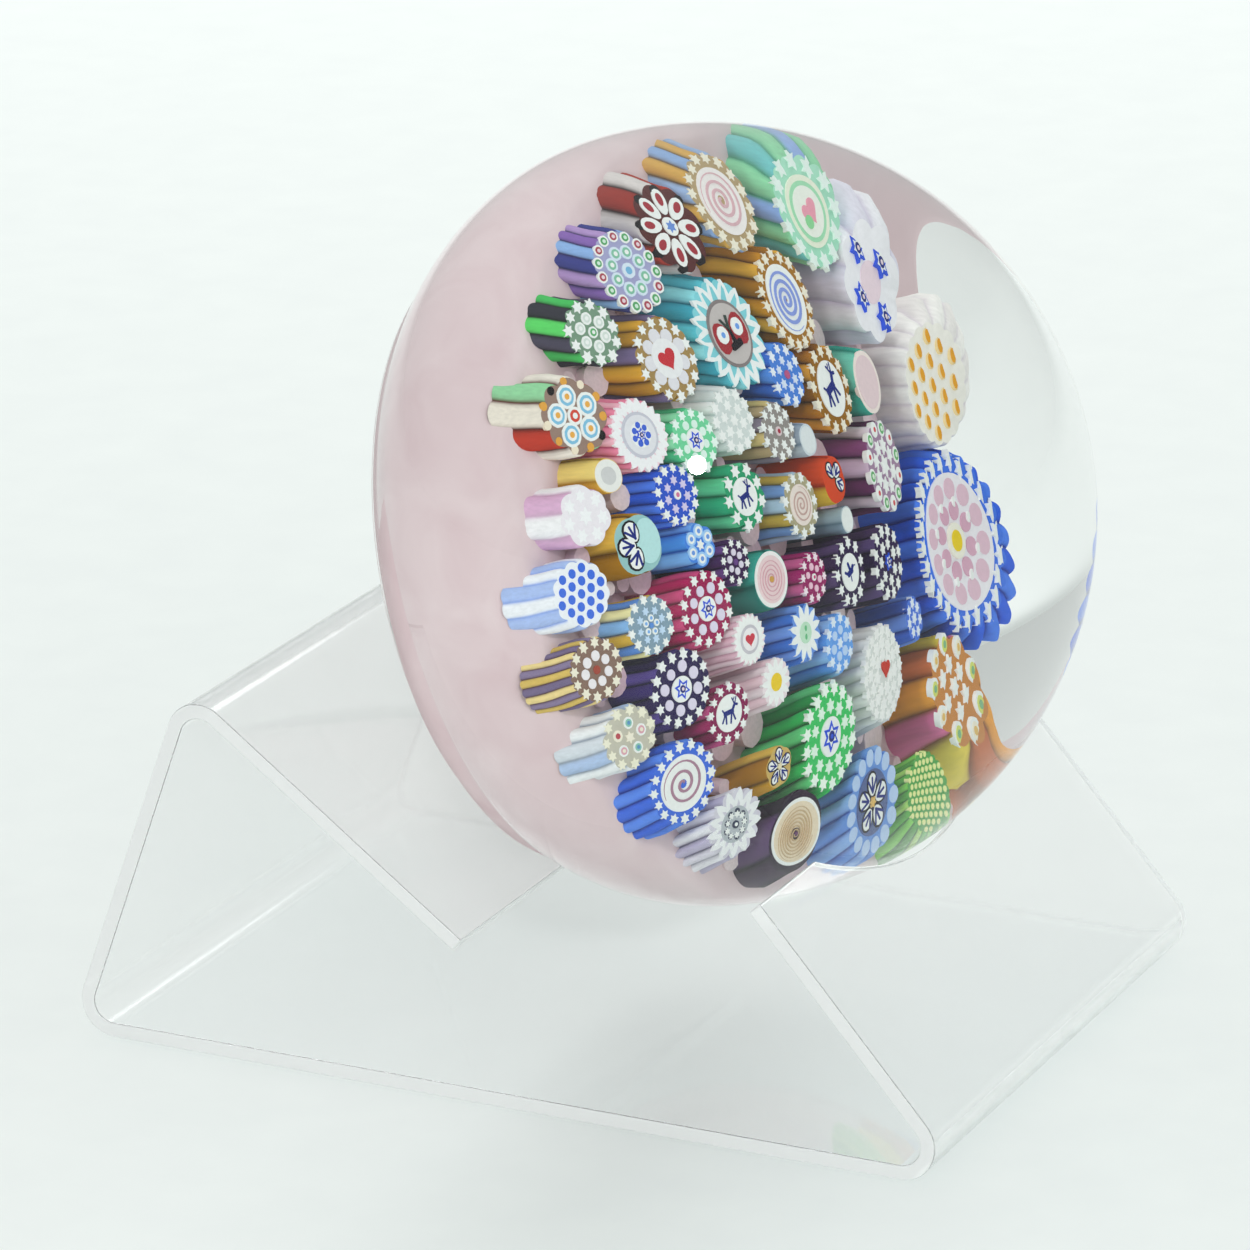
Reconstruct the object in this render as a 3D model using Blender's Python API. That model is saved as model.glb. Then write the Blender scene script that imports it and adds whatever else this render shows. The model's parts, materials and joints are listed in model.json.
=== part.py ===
"""Close-pack millefiori paperweight resting on a bent acrylic stand. Metres, +Z up, dome facing -Y.

The weight is a clear crown and base over an opaque pink ground, on which cut glass canes stand.
The stand is one strip of sheet: a front lip, a floor, a back panel and a flap folded down again.
"""

import math

import bmesh
import bpy
from mathutils import Matrix, Vector

MM = 0.001
GAP = 0.3 * MM  # air kept between neighbouring solids

# Stand: one strip of sheet, its outer corners given before the bends are rounded
SHEET = 1.5 * MM
STAND_WIDTH = 66.0 * MM
FLOOR_LENGTH = 97.1 * MM
LIP_ANGLE, LIP_LENGTH = math.radians(48.4), 33.8 * MM
PANEL_ANGLE, PANEL_LENGTH = math.radians(70.6), 40.7 * MM
FLAP_ANGLE, FLAP_LENGTH = math.radians(36.2), 37.0 * MM
BEND_RADIUS = 3.6 * MM  # outside of each bend
BEND_STEPS = 6
NOTCH_CLEARANCE = 0.4 * MM

# Weight: its own frame has its origin at the widest ring and +Z towards the top of the dome
WIDEST_RADIUS = 38.2 * MM
DOME_HEIGHT = 37.7 * MM
UNDERSIDE_HEIGHT = 28.8 * MM  # semi-axis of the underside's curve, which the base cuts short
UNDERSIDE_POWER = 2.25
BASE_DEPTH = 21.4 * MM
BASE_EDGE = 0.8 * MM
WEIGHT_CENTRE = Vector((0.0, -7.2 * MM, 51.3 * MM))
DOME_ELEVATION = math.radians(14.7)  # how far the dome's axis points above level
ROUND_SIDES = 60

# Setting: the ground and the canes share an axis a little off the dome's own
SETTING_OFFSET = Vector((-1.8 * MM, -1.1 * MM, 0.0))
RIM_RADIUS = 28.0 * MM
CANE_TOP_CENTRE, CANE_TOP_RIM = 7.3 * MM, -1.0 * MM
GROUND_TOP_CENTRE, GROUND_TOP_RIM = 1.8 * MM, -4.5 * MM
CANE_SPREAD = 8.0  # widening of the bundle below the faces, per metre
CANE_SIDES = 12
GROUND_SIDES = 40
GROUND_SKIRT = [(29.6, -5.6), (30.6, -8.0), (30.6, -11.0), (29.4, -14.0), (26.5, -16.2)]  # mm
BASE_PLUG_RADIUS = 22.0 * MM
BASE_PLUG_TOP = -16.6 * MM

# Canes by ring, from the outside in: name, ring radius mm, clock angle deg, face mm, side colour
CANES = [
    ("cane_amber_dots", 24.0, 3, 5.8, "F2EADA"),
    ("cane_four_blue_stars", 22.5, 22, 6.3, "F0EEF2"),
    ("cane_mint_heart", 23.0, 39, 6.3, "86D3BE"),
    ("cane_ochre_spiral", 22.5, 64, 6.9, "D9A850"),
    ("cane_red_petals", 22.5, 84, 7.3, "A8382E"),
    ("cane_purple_tubes", 23.0, 103, 6.9, "7E6AB8"),
    ("cane_green_cluster", 24.0, 122, 5.4, "3FC060"),
    ("cane_red_flower_tubes", 24.5, 141, 6.5, "C23B2A"),
    ("cane_lilac_stripes", 23.5, 161, 5.0, "F0E8F2"),
    ("cane_blue_honeycomb", 25.0, 176, 5.4, "8FB0F0"),
    ("cane_yellow_mauve", 25.5, 191, 5.2, "D9C36A"),
    ("cane_white_grey", 25.0, 207, 5.4, "D8DEE6"),
    ("cane_royal_spiral", 23.0, 225, 6.9, "3F6FE0"),
    ("cane_lilac_daisy", 22.5, 245, 5.8, "CFC8DE"),
    ("cane_dark_cream_spiral", 21.5, 266, 6.5, "3A2340"),
    ("cane_blue_pansy", 21.0, 293, 6.2, "5C8FE0"),
    ("cane_green_lines", 23.5, 308, 3.8, "5FC046"),
    ("cane_orange_cluster", 23.0, 324, 5.2, "E08A2E"),
    ("cane_big_blue_rose", 22.9, 343.5, 8.6, "2F6BE8"),
    ("cane_yellow_tube", 21.0, 152, 2.7, "E8BE4A"),
    ("cane_teal_tube", 16.5, 16, 3.6, "3FB89A"),
    ("cane_amber_spiral", 16.0, 52, 6.5, "C98A1E"),
    ("cane_gold_heart", 17.0, 115, 6.3, "C99A2E"),
    ("cane_pink_daisy", 18.0, 140, 5.6, "F08CB0"),
    ("cane_mustard_half_pansy", 18.5, 168, 4.7, "C9941E"),
    ("cane_yellow_blue_cluster", 19.0, 188, 4.5, "D0B43E"),
    ("cane_navy_star", 18.5, 207, 6.0, "33245A"),
    ("cane_crimson_stag", 16.0, 225, 4.4, "A02460"),
    ("cane_mustard_pansy", 17.0, 253, 3.0, "D09A2A"),
    ("cane_small_blue_flower", 17.5, 327.5, 2.4, "3F6AD0"),
    ("cane_amber_stag", 12.0, 31, 5.5, "B9781E"),
    ("cane_blue_star_cluster", 10.5, 60, 4.1, "5B9CF0"),
    ("cane_turquoise_butterfly", 14.0, 86, 7.9, "45BFD0"),
    ("cane_white_stars", 9.5, 111, 4.6, "E8EEEA"),
    ("cane_green_star", 12.5, 133, 4.6, "3FC97E"),
    ("cane_blue_rose_stars", 14.0, 154, 4.4, "2F62E0"),
    ("cane_six_blue_tubes", 12.0, 171, 3.2, "3F86F0"),
    ("cane_crimson_star", 13.0, 193, 5.6, "B81E5E"),
    ("cane_pale_heart_daisy", 10.5, 217, 3.5, "F2C8D8"),
    ("cane_yellow_centre_daisy", 11.5, 241, 3.3, "EDE0E2"),
    ("cane_big_green_star", 15.0, 276, 7.1, "2FC45E"),
    ("cane_light_blue_stars", 9.5, 289, 3.7, "5FA0EE"),
    ("cane_white_heart", 15.0, 308, 5.4, "E6E8E6"),
    ("cane_plum_blue_star", 13.0, 335, 4.3, "4A3562"),
    ("cane_mauve_green_tubes", 14.5, 359, 5.0, "8A4A7E"),
    ("cane_orange_pansy", 6.5, 11, 3.0, "E0421E"),
    ("cane_grey_blue_tube", 6.5, 45, 2.1, "C8D4DE"),
    ("cane_grey_red_star", 6.5, 79, 3.9, "B8A07A"),
    ("cane_green_stag", 6.5, 146, 4.6, "2FB07E"),
    ("cane_small_plum_stars", 8.5, 183, 3.2, "4A2A5E"),
    ("cane_teal_rings", 5.5, 210, 4.0, "2F9A8E"),
    ("cane_blue_green_daisy", 7.5, 259, 3.8, "3F7AD8"),
    ("cane_magenta_stars", 4.0, 279, 3.3, "B02A72"),
    ("cane_plum_figure", 7.5, 320, 4.2, "3F2A52"),
    ("cane_grey_blue_chip", 7.0, 347, 1.7, "A8C0CC"),
    ("cane_beige_spiral", 1.5, 45, 4.2, "C9A84A"),
]


def clear_scene():
    for obj in list(bpy.data.objects):
        bpy.data.objects.remove(obj, do_unlink=True)


def linear(code):
    """An sRGB hex colour as linear RGBA."""
    parts = [int(code[i : i + 2], 16) / 255 for i in (0, 2, 4)]
    return tuple(c / 12.92 if c <= 0.04045 else ((c + 0.055) / 1.055) ** 2.4 for c in parts) + (1.0,)


def principled(name, code, roughness, transmission=0.0, ior=1.5):
    material = bpy.data.materials.new(name)
    material.use_nodes = True
    shader = material.node_tree.nodes["Principled BSDF"]
    shader.inputs["Base Color"].default_value = linear(code)
    shader.inputs["Roughness"].default_value = roughness
    shader.inputs["Metallic"].default_value = 0.0
    shader.inputs["Transmission Weight"].default_value = transmission
    shader.inputs["IOR"].default_value = ior
    return material


def new_object(name, points, faces, material=None, parent=None, smooth_angle=35):
    """A mesh object from points and faces, with its faces turned outwards."""
    mesh = bpy.data.meshes.new(name)
    mesh.from_pydata(points, [], faces)
    work = bmesh.new()
    work.from_mesh(mesh)
    bmesh.ops.recalc_face_normals(work, faces=work.faces)
    work.to_mesh(mesh)
    work.free()
    mesh.shade_smooth()
    mesh.set_sharp_from_angle(angle=math.radians(smooth_angle))
    obj = bpy.data.objects.new(name, mesh)
    bpy.context.collection.objects.link(obj)
    obj.parent = parent
    if material:
        mesh.materials.append(material)
    return obj


def cut(obj, cutter):
    """Takes the cutter out of the object and hides the cutter."""
    cutter.hide_render = True
    cutter.display_type = "WIRE"
    boolean = obj.modifiers.new("cut_" + cutter.name, "BOOLEAN")
    boolean.operation = "DIFFERENCE"
    boolean.solver = "EXACT"
    boolean.object = cutter


def turned(profile, sides):
    """Points and faces of a profile of (radius, height), turned about Z. Its ends lie on the axis."""
    points, faces, rings = [], [], []
    for radius, height in profile:
        if radius == 0:
            rings.append([len(points)] * sides)
            points.append((0.0, 0.0, height))
            continue
        rings.append(list(range(len(points), len(points) + sides)))
        for step in range(sides):
            angle = 2 * math.pi * step / sides
            points.append((radius * math.cos(angle), radius * math.sin(angle), height))
    for upper, lower in zip(rings, rings[1:]):
        for step in range(sides):
            after = (step + 1) % sides
            corners = [upper[step], lower[step], lower[after], upper[after]]
            faces.append(list(dict.fromkeys(corners)))
    return points, faces


# ---- stand ------------------------------------------------------------------------------------


def stand_corners():
    """Outer corners of the strip's section in the YZ plane, from the lip's top to the flap's end."""
    front = Vector((-FLOOR_LENGTH / 2, 0.0))
    back = Vector((FLOOR_LENGTH / 2, 0.0))
    lip_top = front + LIP_LENGTH * Vector((math.cos(LIP_ANGLE), math.sin(LIP_ANGLE)))
    ridge = back + PANEL_LENGTH * Vector((-math.cos(PANEL_ANGLE), math.sin(PANEL_ANGLE)))
    flap_end = ridge - FLAP_LENGTH * Vector((math.cos(FLAP_ANGLE), math.sin(FLAP_ANGLE)))
    return [lip_top, front, back, ridge, flap_end]


def strip_section(corners):
    """Closed outline of the strip: along the outside with rounded bends, then back inside."""
    outer, inner = [], []

    def add(centre, normal, radius):
        outer.append(centre + normal * radius)
        inner.append(centre + normal * (radius - SHEET))

    def outward(start, end):
        run = (end - start).normalized()
        return Vector((run.y, -run.x))

    add(corners[0], outward(corners[0], corners[1]), 0.0)
    for before, corner, after in zip(corners, corners[1:], corners[2:]):
        first, last = outward(before, corner), outward(corner, after)
        turn = first.angle(last)
        middle = (first + last).normalized()
        centre = corner - middle * (BEND_RADIUS / math.cos(turn / 2))
        for step in range(BEND_STEPS + 1):
            add(centre, Matrix.Rotation(turn * step / BEND_STEPS, 2) @ first, BEND_RADIUS)
    add(corners[-1], outward(corners[-2], corners[-1]), 0.0)
    return outer + inner[::-1]


def centring_shift(section):
    """How far to slide the section along Y so that its box is centred on the origin."""
    across = [point.x for point in section]
    return -(min(across) + max(across)) / 2


def lip_notch(corners, shift):
    """A drum square to the lip, that takes the dome's outline out of the lip's top edge."""
    up_lip = (corners[0] - corners[1]).normalized()
    front = Vector((0.0, corners[1].x + shift, corners[1].y))
    along = Vector((0.0, up_lip.x, up_lip.y))
    normal = Vector((0.0, -up_lip.y, up_lip.x))
    reach = (WEIGHT_CENTRE - front).dot(along)
    drum = bpy.data.objects.new("lip_notch_cutter", bpy.data.meshes.new("lip_notch_cutter"))
    work = bmesh.new()
    radius = WIDEST_RADIUS + NOTCH_CLEARANCE
    bmesh.ops.create_cone(
        work, cap_ends=True, segments=96, radius1=radius, radius2=radius, depth=24 * MM
    )
    work.to_mesh(drum.data)
    work.free()
    bpy.context.collection.objects.link(drum)
    drum.rotation_mode = "QUATERNION"
    drum.rotation_quaternion = normal.to_track_quat("Z", "Y")
    drum.location = front + along * reach
    return drum


def build_stand():
    corners = stand_corners()
    section = strip_section(corners)
    shift = centring_shift(section)
    count = len(section)
    points = []
    for side in (-STAND_WIDTH / 2, STAND_WIDTH / 2):
        points += [(side, point.x + shift, point.y) for point in section]
    half = count // 2
    faces = []
    for step in range(count):
        after = (step + 1) % count
        faces.append([step, after, count + after, count + step])
    for step in range(half - 1):
        strip = [step, step + 1, count - 2 - step, count - 1 - step]
        faces.append(strip)
        faces.append([count + corner for corner in strip[::-1]])
    acrylic = principled("clear_acrylic", "F4F6F6", 0.08, transmission=0.9, ior=1.49)
    stand = new_object("display_stand", points, faces, acrylic)
    cut(stand, lip_notch(corners, shift))


# ---- glass weight -----------------------------------------------------------------------------


def weight_frame():
    """The weight's own frame: its parts are made with +Z up the dome, then tipped forward."""
    frame = bpy.data.objects.new("weight_frame", None)
    bpy.context.collection.objects.link(frame)
    frame.location = WEIGHT_CENTRE
    frame.rotation_euler = (math.pi / 2 - DOME_ELEVATION, 0.0, 0.0)
    return frame


def underside_radius(depth):
    return WIDEST_RADIUS * (1 - (depth / UNDERSIDE_HEIGHT) ** UNDERSIDE_POWER) ** (1 / UNDERSIDE_POWER)


def glass_profile():
    """Outside of the weight, from the top of the dome down to the middle of the flat base."""
    dome_steps, side_steps = 12, 7
    profile = [(0.0, DOME_HEIGHT)]
    for step in range(1, dome_steps + 1):
        angle = math.pi / 2 * step / dome_steps
        profile.append((WIDEST_RADIUS * math.sin(angle), DOME_HEIGHT * math.cos(angle)))
    straight = BASE_DEPTH - BASE_EDGE
    for step in range(1, side_steps + 1):
        depth = straight * step / side_steps
        profile.append((underside_radius(depth), -depth))
    profile.append((underside_radius(straight) - BASE_EDGE, -BASE_DEPTH))
    profile.append((0.0, -BASE_DEPTH))
    return profile


def dome_height(radius, centre, rim):
    """Height of a shallow dome over the setting's axis, centre and rim being its two heights."""
    return centre - (centre - rim) * (radius / RIM_RADIUS) ** 2


def ground_profile(clear=0.0):
    """The pink ground: domed on top, with a rounded skirt. clear grows it into its own hollow."""
    profile = [(0.0, dome_height(0, GROUND_TOP_CENTRE, GROUND_TOP_RIM) + clear)]
    for step in range(1, 7):
        radius = RIM_RADIUS * 1.02 * step / 6
        profile.append((radius, dome_height(radius, GROUND_TOP_CENTRE, GROUND_TOP_RIM) + clear))
    profile += [(radius * MM + clear, height * MM) for radius, height in GROUND_SKIRT]
    return profile


def build_ground(frame):
    profile = ground_profile()
    profile.append((0.0, profile[-1][1]))
    points, faces = turned(profile, GROUND_SIDES)
    pink = principled("pink_opaque_glass", "E3CCD2", 0.25)
    ground = new_object("pink_ground", points, faces, pink, frame)
    ground.location = SETTING_OFFSET


def hollow_profile():
    """The hollow in the crown: over the cane faces, round the ground, and out through the base."""
    clear = 2 * GAP
    profile = [(0.0, CANE_TOP_CENTRE + clear)]
    for step in range(1, 7):
        radius = (RIM_RADIUS + 1.0 * MM) * step / 6
        profile.append((radius, dome_height(radius, CANE_TOP_CENTRE, CANE_TOP_RIM) + clear))
    profile += [(radius * MM + clear, height * MM) for radius, height in GROUND_SKIRT]
    profile.append((BASE_PLUG_RADIUS + clear, BASE_PLUG_TOP + GAP))
    profile.append((BASE_PLUG_RADIUS + clear, -BASE_DEPTH - 2 * MM))
    profile.append((0.0, -BASE_DEPTH - 2 * MM))
    return profile


def build_crown(frame):
    points, faces = turned(glass_profile(), ROUND_SIDES)
    glass = principled("clear_lead_glass", "F6F8F6", 0.02, transmission=1.0, ior=1.5)
    crown = new_object("glass_crown", points, faces, glass, frame)
    points, faces = turned(hollow_profile(), GROUND_SIDES)
    hollow = new_object("crown_hollow", points, faces, parent=frame)
    hollow.location = SETTING_OFFSET
    cut(crown, hollow)


def build_base(frame):
    """The gather of clear glass under the ground, polished flat where the weight rests."""
    profile = [
        (0.0, BASE_PLUG_TOP),
        (BASE_PLUG_RADIUS, BASE_PLUG_TOP),
        (BASE_PLUG_RADIUS, -BASE_DEPTH + GAP),
        (BASE_PLUG_RADIUS - GAP, -BASE_DEPTH),
        (0.0, -BASE_DEPTH),
    ]
    points, faces = turned(profile, GROUND_SIDES)
    glass = principled("clear_base_glass", "F2F5F3", 0.05, transmission=1.0, ior=1.5)
    base = new_object("glass_base", points, faces, glass, frame)
    base.location = SETTING_OFFSET


def setting_point(x, y, share):
    """A point of the cane bundle: share 0 is on the faces, 1 at the feet, and the bundle spreads."""
    radius = math.hypot(x, y)
    top = dome_height(radius, CANE_TOP_CENTRE, CANE_TOP_RIM)
    foot = dome_height(radius, GROUND_TOP_CENTRE, GROUND_TOP_RIM) + 2 * GAP
    depth = share * (top - foot)
    spread = 1 + CANE_SPREAD * depth
    return Vector((x * spread, y * spread, top - depth))


def build_cane(frame, name, ring, clock, face, code):
    """A short length of cane standing on the ground: its cut face on top and its foot below."""
    centre = Vector((ring * MM, 0.0, 0.0))
    centre.rotate(Matrix.Rotation(math.radians(clock), 3, "Z"))
    points = [setting_point(centre.x, centre.y, 0.0), setting_point(centre.x, centre.y, 1.0)]
    for share in (0.0, 1.0):
        for step in range(CANE_SIDES):
            angle = 2 * math.pi * step / CANE_SIDES
            x = centre.x + face / 2 * MM * math.cos(angle)
            y = centre.y + face / 2 * MM * math.sin(angle)
            points.append(setting_point(x, y, share))
    origin = points[0].copy()
    faces = []
    for step in range(CANE_SIDES):
        top, after = 2 + step, 2 + (step + 1) % CANE_SIDES
        faces.append([0, top, after])
        faces.append([1, after + CANE_SIDES, top + CANE_SIDES])
        faces.append([top, top + CANE_SIDES, after + CANE_SIDES, after])
    points = [point - origin for point in points]
    cane = new_object(name, points, faces, principled(name, code, 0.2), frame)
    cane.location = SETTING_OFFSET + origin


def main():
    clear_scene()
    build_stand()
    frame = weight_frame()
    build_crown(frame)
    build_ground(frame)
    build_base(frame)
    for cane in CANES:
        build_cane(frame, *cane)


main()
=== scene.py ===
"""Close-pack millefiori paperweight on a bent acrylic stand: the finished look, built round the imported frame.

Every cane is a ribbed length of drawn glass whose cut face carries chips and rods of coloured glass.
The canes and the pink ground are embedded in one solid clear body, so there is no air round them.
"""

import json
import math
import random

import bmesh
import bpy
from mathutils import Matrix, Vector, noise

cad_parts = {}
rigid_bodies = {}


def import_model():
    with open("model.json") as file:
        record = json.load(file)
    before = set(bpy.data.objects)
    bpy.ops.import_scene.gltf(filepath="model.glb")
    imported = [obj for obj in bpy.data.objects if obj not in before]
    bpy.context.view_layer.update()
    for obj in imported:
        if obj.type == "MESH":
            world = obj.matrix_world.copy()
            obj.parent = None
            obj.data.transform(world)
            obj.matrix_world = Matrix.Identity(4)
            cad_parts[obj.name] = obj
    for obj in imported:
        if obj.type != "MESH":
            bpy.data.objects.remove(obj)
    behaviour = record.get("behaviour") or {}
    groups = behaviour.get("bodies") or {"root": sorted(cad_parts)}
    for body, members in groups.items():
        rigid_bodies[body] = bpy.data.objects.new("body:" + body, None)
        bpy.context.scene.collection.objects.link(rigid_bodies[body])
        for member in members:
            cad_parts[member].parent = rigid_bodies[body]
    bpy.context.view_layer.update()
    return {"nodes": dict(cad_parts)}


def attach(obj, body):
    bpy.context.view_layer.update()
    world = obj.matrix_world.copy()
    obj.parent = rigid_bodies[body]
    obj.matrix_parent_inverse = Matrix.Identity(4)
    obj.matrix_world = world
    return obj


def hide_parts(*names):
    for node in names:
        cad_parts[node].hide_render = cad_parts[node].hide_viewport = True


MM = 0.001
RANDOM_SEED = 11

# Weight and setting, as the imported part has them
WIDEST_RADIUS, DOME_HEIGHT = 38.2 * MM, 37.7 * MM
UNDERSIDE_HEIGHT, UNDERSIDE_POWER = 28.8 * MM, 2.25
BASE_DEPTH, BASE_EDGE = 21.4 * MM, 0.8 * MM
WEIGHT_CENTRE = Vector((0.0, -7.2 * MM, 51.3 * MM))
DOME_ELEVATION = math.radians(14.7)
SETTING_TILT = math.pi / 2 - DOME_ELEVATION
SETTING_OFFSET = Vector((-1.8 * MM, -1.1 * MM, 0.0))
RIM_RADIUS = 28.0 * MM
CANE_TOP_CENTRE, CANE_TOP_RIM = 7.3 * MM, -1.0 * MM
GROUND_TOP_CENTRE, GROUND_TOP_RIM = 1.8 * MM, -4.5 * MM
CANE_SPREAD = 8.0  # widening of the bundle below the faces, per metre
GROUND_SKIRT = [(29.8, -5.4), (31.0, -8.0), (31.6, -11.5), (31.3, -15.5), (29.6, -18.8)]  # mm
GROUND_FLOOR = -20.5 * MM
GROUND_LAP = 1.4 * MM  # how far the ground laps up over the outer canes' feet
# The side where the outer canes lie over: their faces sit higher and flatter, and their feet spread
SPLAY_MIDDLE, SPLAY_HALF, SPLAY_FADE = math.radians(-8), math.radians(36), math.radians(24)
SPLAY_FOOT, SPLAY_START, SPLAY_LIFT = 1.65 * MM, 16.0 * MM, 13.5
SHELF_RADIUS, SHELF_HEIGHT = 29.2 * MM, -3.1 * MM  # the ground's ledge on that side

# Stand
SHEET, STAND_WIDTH, FLOOR_LENGTH = 1.5 * MM, 66.0 * MM, 97.1 * MM
LIP_ANGLE, LIP_LENGTH = math.radians(48.4), 33.8 * MM
PANEL_ANGLE, PANEL_LENGTH = math.radians(70.6), 40.7 * MM
FLAP_ANGLE, FLAP_LENGTH = math.radians(36.2), 37.0 * MM
BEND_RADIUS, BEND_STEPS = 3.6 * MM, 14
NOTCH_CLEARANCE = 0.4 * MM
POLISHED_EDGE = 0.22 * MM  # rounding of the sheet's cut edges

# Fine detail of the canes
LEVELS = [0.0, 0.05, 0.2, 0.36, 0.52, 0.68, 0.84, 1.0, 1.2]  # shares of a cane's length below its face
LOBE_STEPS = 8
CHIP_LIFT, CHIP_STEP = 0.03 * MM, 0.022 * MM  # lowest chip above the face, and each later one above it
CHIP_SINK = 0.2 * MM
ROD_DEPTH, FILLER_DEPTH = 0.3 * MM, 3.2 * MM
STAR_SHARE, ROUND_SHARE = 0.56, 0.97  # a rod's inner radius over its outer: a star, or a many-sided round
CANE_LEAN, CANE_WAVE, CANE_SWELL = 0.05, 0.012, 0.05  # how unevenly a cane was drawn, in radians and shares
OUTER_START, OUTER_END = 24.0 * MM, 27.0 * MM  # canes that reach past these spread at the foot
FOOT_SPREAD = 1.0 * MM
# A lying cane has flared by the first share of its length, and is drawn back again after the second
FLARE_DONE, FLARE_HELD, FLARE_RETURN = 0.34, 0.4, 0.8
CUT_ROUNDING = 0.96  # the cut face's radius over the cane's
FACE_TOLERANCE = 0.05 * MM  # a CAD point this near the dome of faces is on a cut face
MOST_GROWTH, LEAST_ROOM = 1.1, 0.1 * MM
SIDE_STREAKS = (0.26, 0.09, 0.006 * MM)  # streak width in mm, strength and bump depth
FACE_STREAKS = (0.3, 0.04, 0.002 * MM)
PULL_STRETCH = 9  # how much longer than wide a streak is

# Plain chips between the canes
FILLER_SPACING, FILLER_REACH = 0.8 * MM, 24.0 * MM
FILLER_LEAST, FILLER_MOST = 0.5 * MM, 1.5 * MM
FILLER_STRAY, FILLER_PACKING = 0.2 * MM, 0.9
FILLER_SUNK = (2.0 * MM, 4.2 * MM)
FILLER_PINKS = ["EAD2D8", "E2C4CE", "EEDCDE", "DCBCCA", "E8D0D6"]

# Ground
GROUND_SIDES, GROUND_RINGS, SKIRT_PARTS = 144, 30, 4
SWELL_TOP, SWELL_SKIRT = 0.55 * MM, 0.18 * MM
SWELL_WIDE, SWELL_FINE = 3.4 * MM, 1.5 * MM
SHELF_WIDENING, SHELF_FALL = 1.1 * MM, 1.6  # the ledge's extra reach at its far end, and its slope beyond
SKIRT_DRAWN_IN = 0.07  # how far the skirt goes in under the ledge, as a share of its radius
CLOUD_SIZE, VEIN_SIZE = 7 * MM, 5 * MM
# Painted shade: inside this radius the ground's top is coloured towards a darker mauve for the shade between
# the canes, fading over the given width
PAINTED_SHADE_RADIUS, PAINTED_SHADE_FADE, PAINTED_SHADE_STRENGTH = 25.0 * MM, 4 * MM, 0.5

# Camera
CAMERA_AZIMUTH, CAMERA_ELEVATION = math.radians(-64.82), math.radians(18.61)
CAMERA_DISTANCE, CAMERA_LENS = 630.9 * MM, 202.0
CAMERA_TARGET = Vector((-51.67 * MM, -22.45 * MM, 57.82 * MM))

# Lights: place, aim, width and power
SOFTBOXES = {
    "far_overhead_softbox": ((0.7, 0.35, 0.75), (0.45, 0.2, 0.0), 0.7, 3.6),
    "camera_side_softbox": ((-0.9, -0.75, 0.75), WEIGHT_CENTRE, 0.6, 1.8),
    "flash": ((-0.545, -0.226, 0.409), WEIGHT_CENTRE, 0.065, 0.8),
}
WORLD_STRENGTH = 0.76

# Glass colours
WHITE, CREAM, NAVY, ROYAL, INK = "F6F8F6", "F6EFDC", "1C2A80", "2C56DC", "1C1820"
LILAC, PALE_PINK = "E4DCF0", "F0DCE2"

for startup in list(bpy.data.objects):
    bpy.data.objects.remove(startup, do_unlink=True)
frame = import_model()
TO_SETTING = (
    Matrix.Translation(WEIGHT_CENTRE)
    @ Matrix.Rotation(SETTING_TILT, 4, "X")
    @ Matrix.Translation(SETTING_OFFSET)
)
TO_WEIGHT = Matrix.Translation(WEIGHT_CENTRE) @ Matrix.Rotation(SETTING_TILT, 4, "X")


# ---- colour and materials ---------------------------------------------------------------------


def linear(code):
    """An sRGB hex colour as linear RGBA."""
    parts = [int(code[i : i + 2], 16) / 255 for i in (0, 2, 4)]
    return tuple(c / 12.92 if c <= 0.04045 else ((c + 0.055) / 1.055) ** 2.4 for c in parts) + (1.0,)


def mixed(first, second, share):
    return tuple(a + (b - a) * share for a, b in zip(first, second))


def add_node(tree, kind, settings=None, links=None):
    """Adds a node with its settings. Each link is a value, or a socket of another node."""
    node = tree.nodes.new(kind)
    for name, value in (settings or {}).items():
        setattr(node, name, value)
    for name, value in (links or {}).items():
        if isinstance(value, bpy.types.NodeSocket):
            tree.links.new(value, node.inputs[name])
        else:
            node.inputs[name].default_value = value
    return node


def new_material(name):
    material = bpy.data.materials.new(name)
    material.use_nodes = True
    material.node_tree.nodes.clear()
    return material, material.node_tree


def object_place(tree):
    return add_node(tree, "ShaderNodeTexCoord").outputs["Object"]


def cloudy(tree, place, scale, detail=2.0, distortion=0.0, kind="FBM"):
    """Noise with about this many features to the metre."""
    inputs = {"Vector": place, "Scale": scale, "Detail": detail, "Distortion": distortion}
    return add_node(tree, "ShaderNodeTexNoise", {"noise_type": kind}, inputs).outputs["Fac"]


def between(tree, share, first, second):
    """A colour between two."""
    inputs = {0: share, 6: first, 7: second}
    return add_node(tree, "ShaderNodeMix", {"data_type": "RGBA"}, inputs).outputs[2]


def ramp(tree, value, start, end, low, high):
    """Takes start..end to low..high, and holds it beyond."""
    inputs = {"Value": value, 1: start, 2: end, 3: low, 4: high}
    return add_node(tree, "ShaderNodeMapRange", links=inputs).outputs["Result"]


def uneven(tree, height, depth, strength):
    """A surface that rises and falls by up to this depth."""
    inputs = {"Height": height, "Distance": depth, "Strength": strength}
    return add_node(tree, "ShaderNodeBump", links=inputs).outputs["Normal"]


def glaze(tree, **inputs):
    """A Principled surface. Base_Color here is its socket Base Color, and so on."""
    named = {label.replace("_", " "): value for label, value in inputs.items()}
    return add_node(tree, "ShaderNodeBsdfPrincipled", links=named).outputs[0]


def surfaced(material, shader):
    add_node(material.node_tree, "ShaderNodeOutputMaterial", links={"Surface": shader})
    return material


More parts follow.
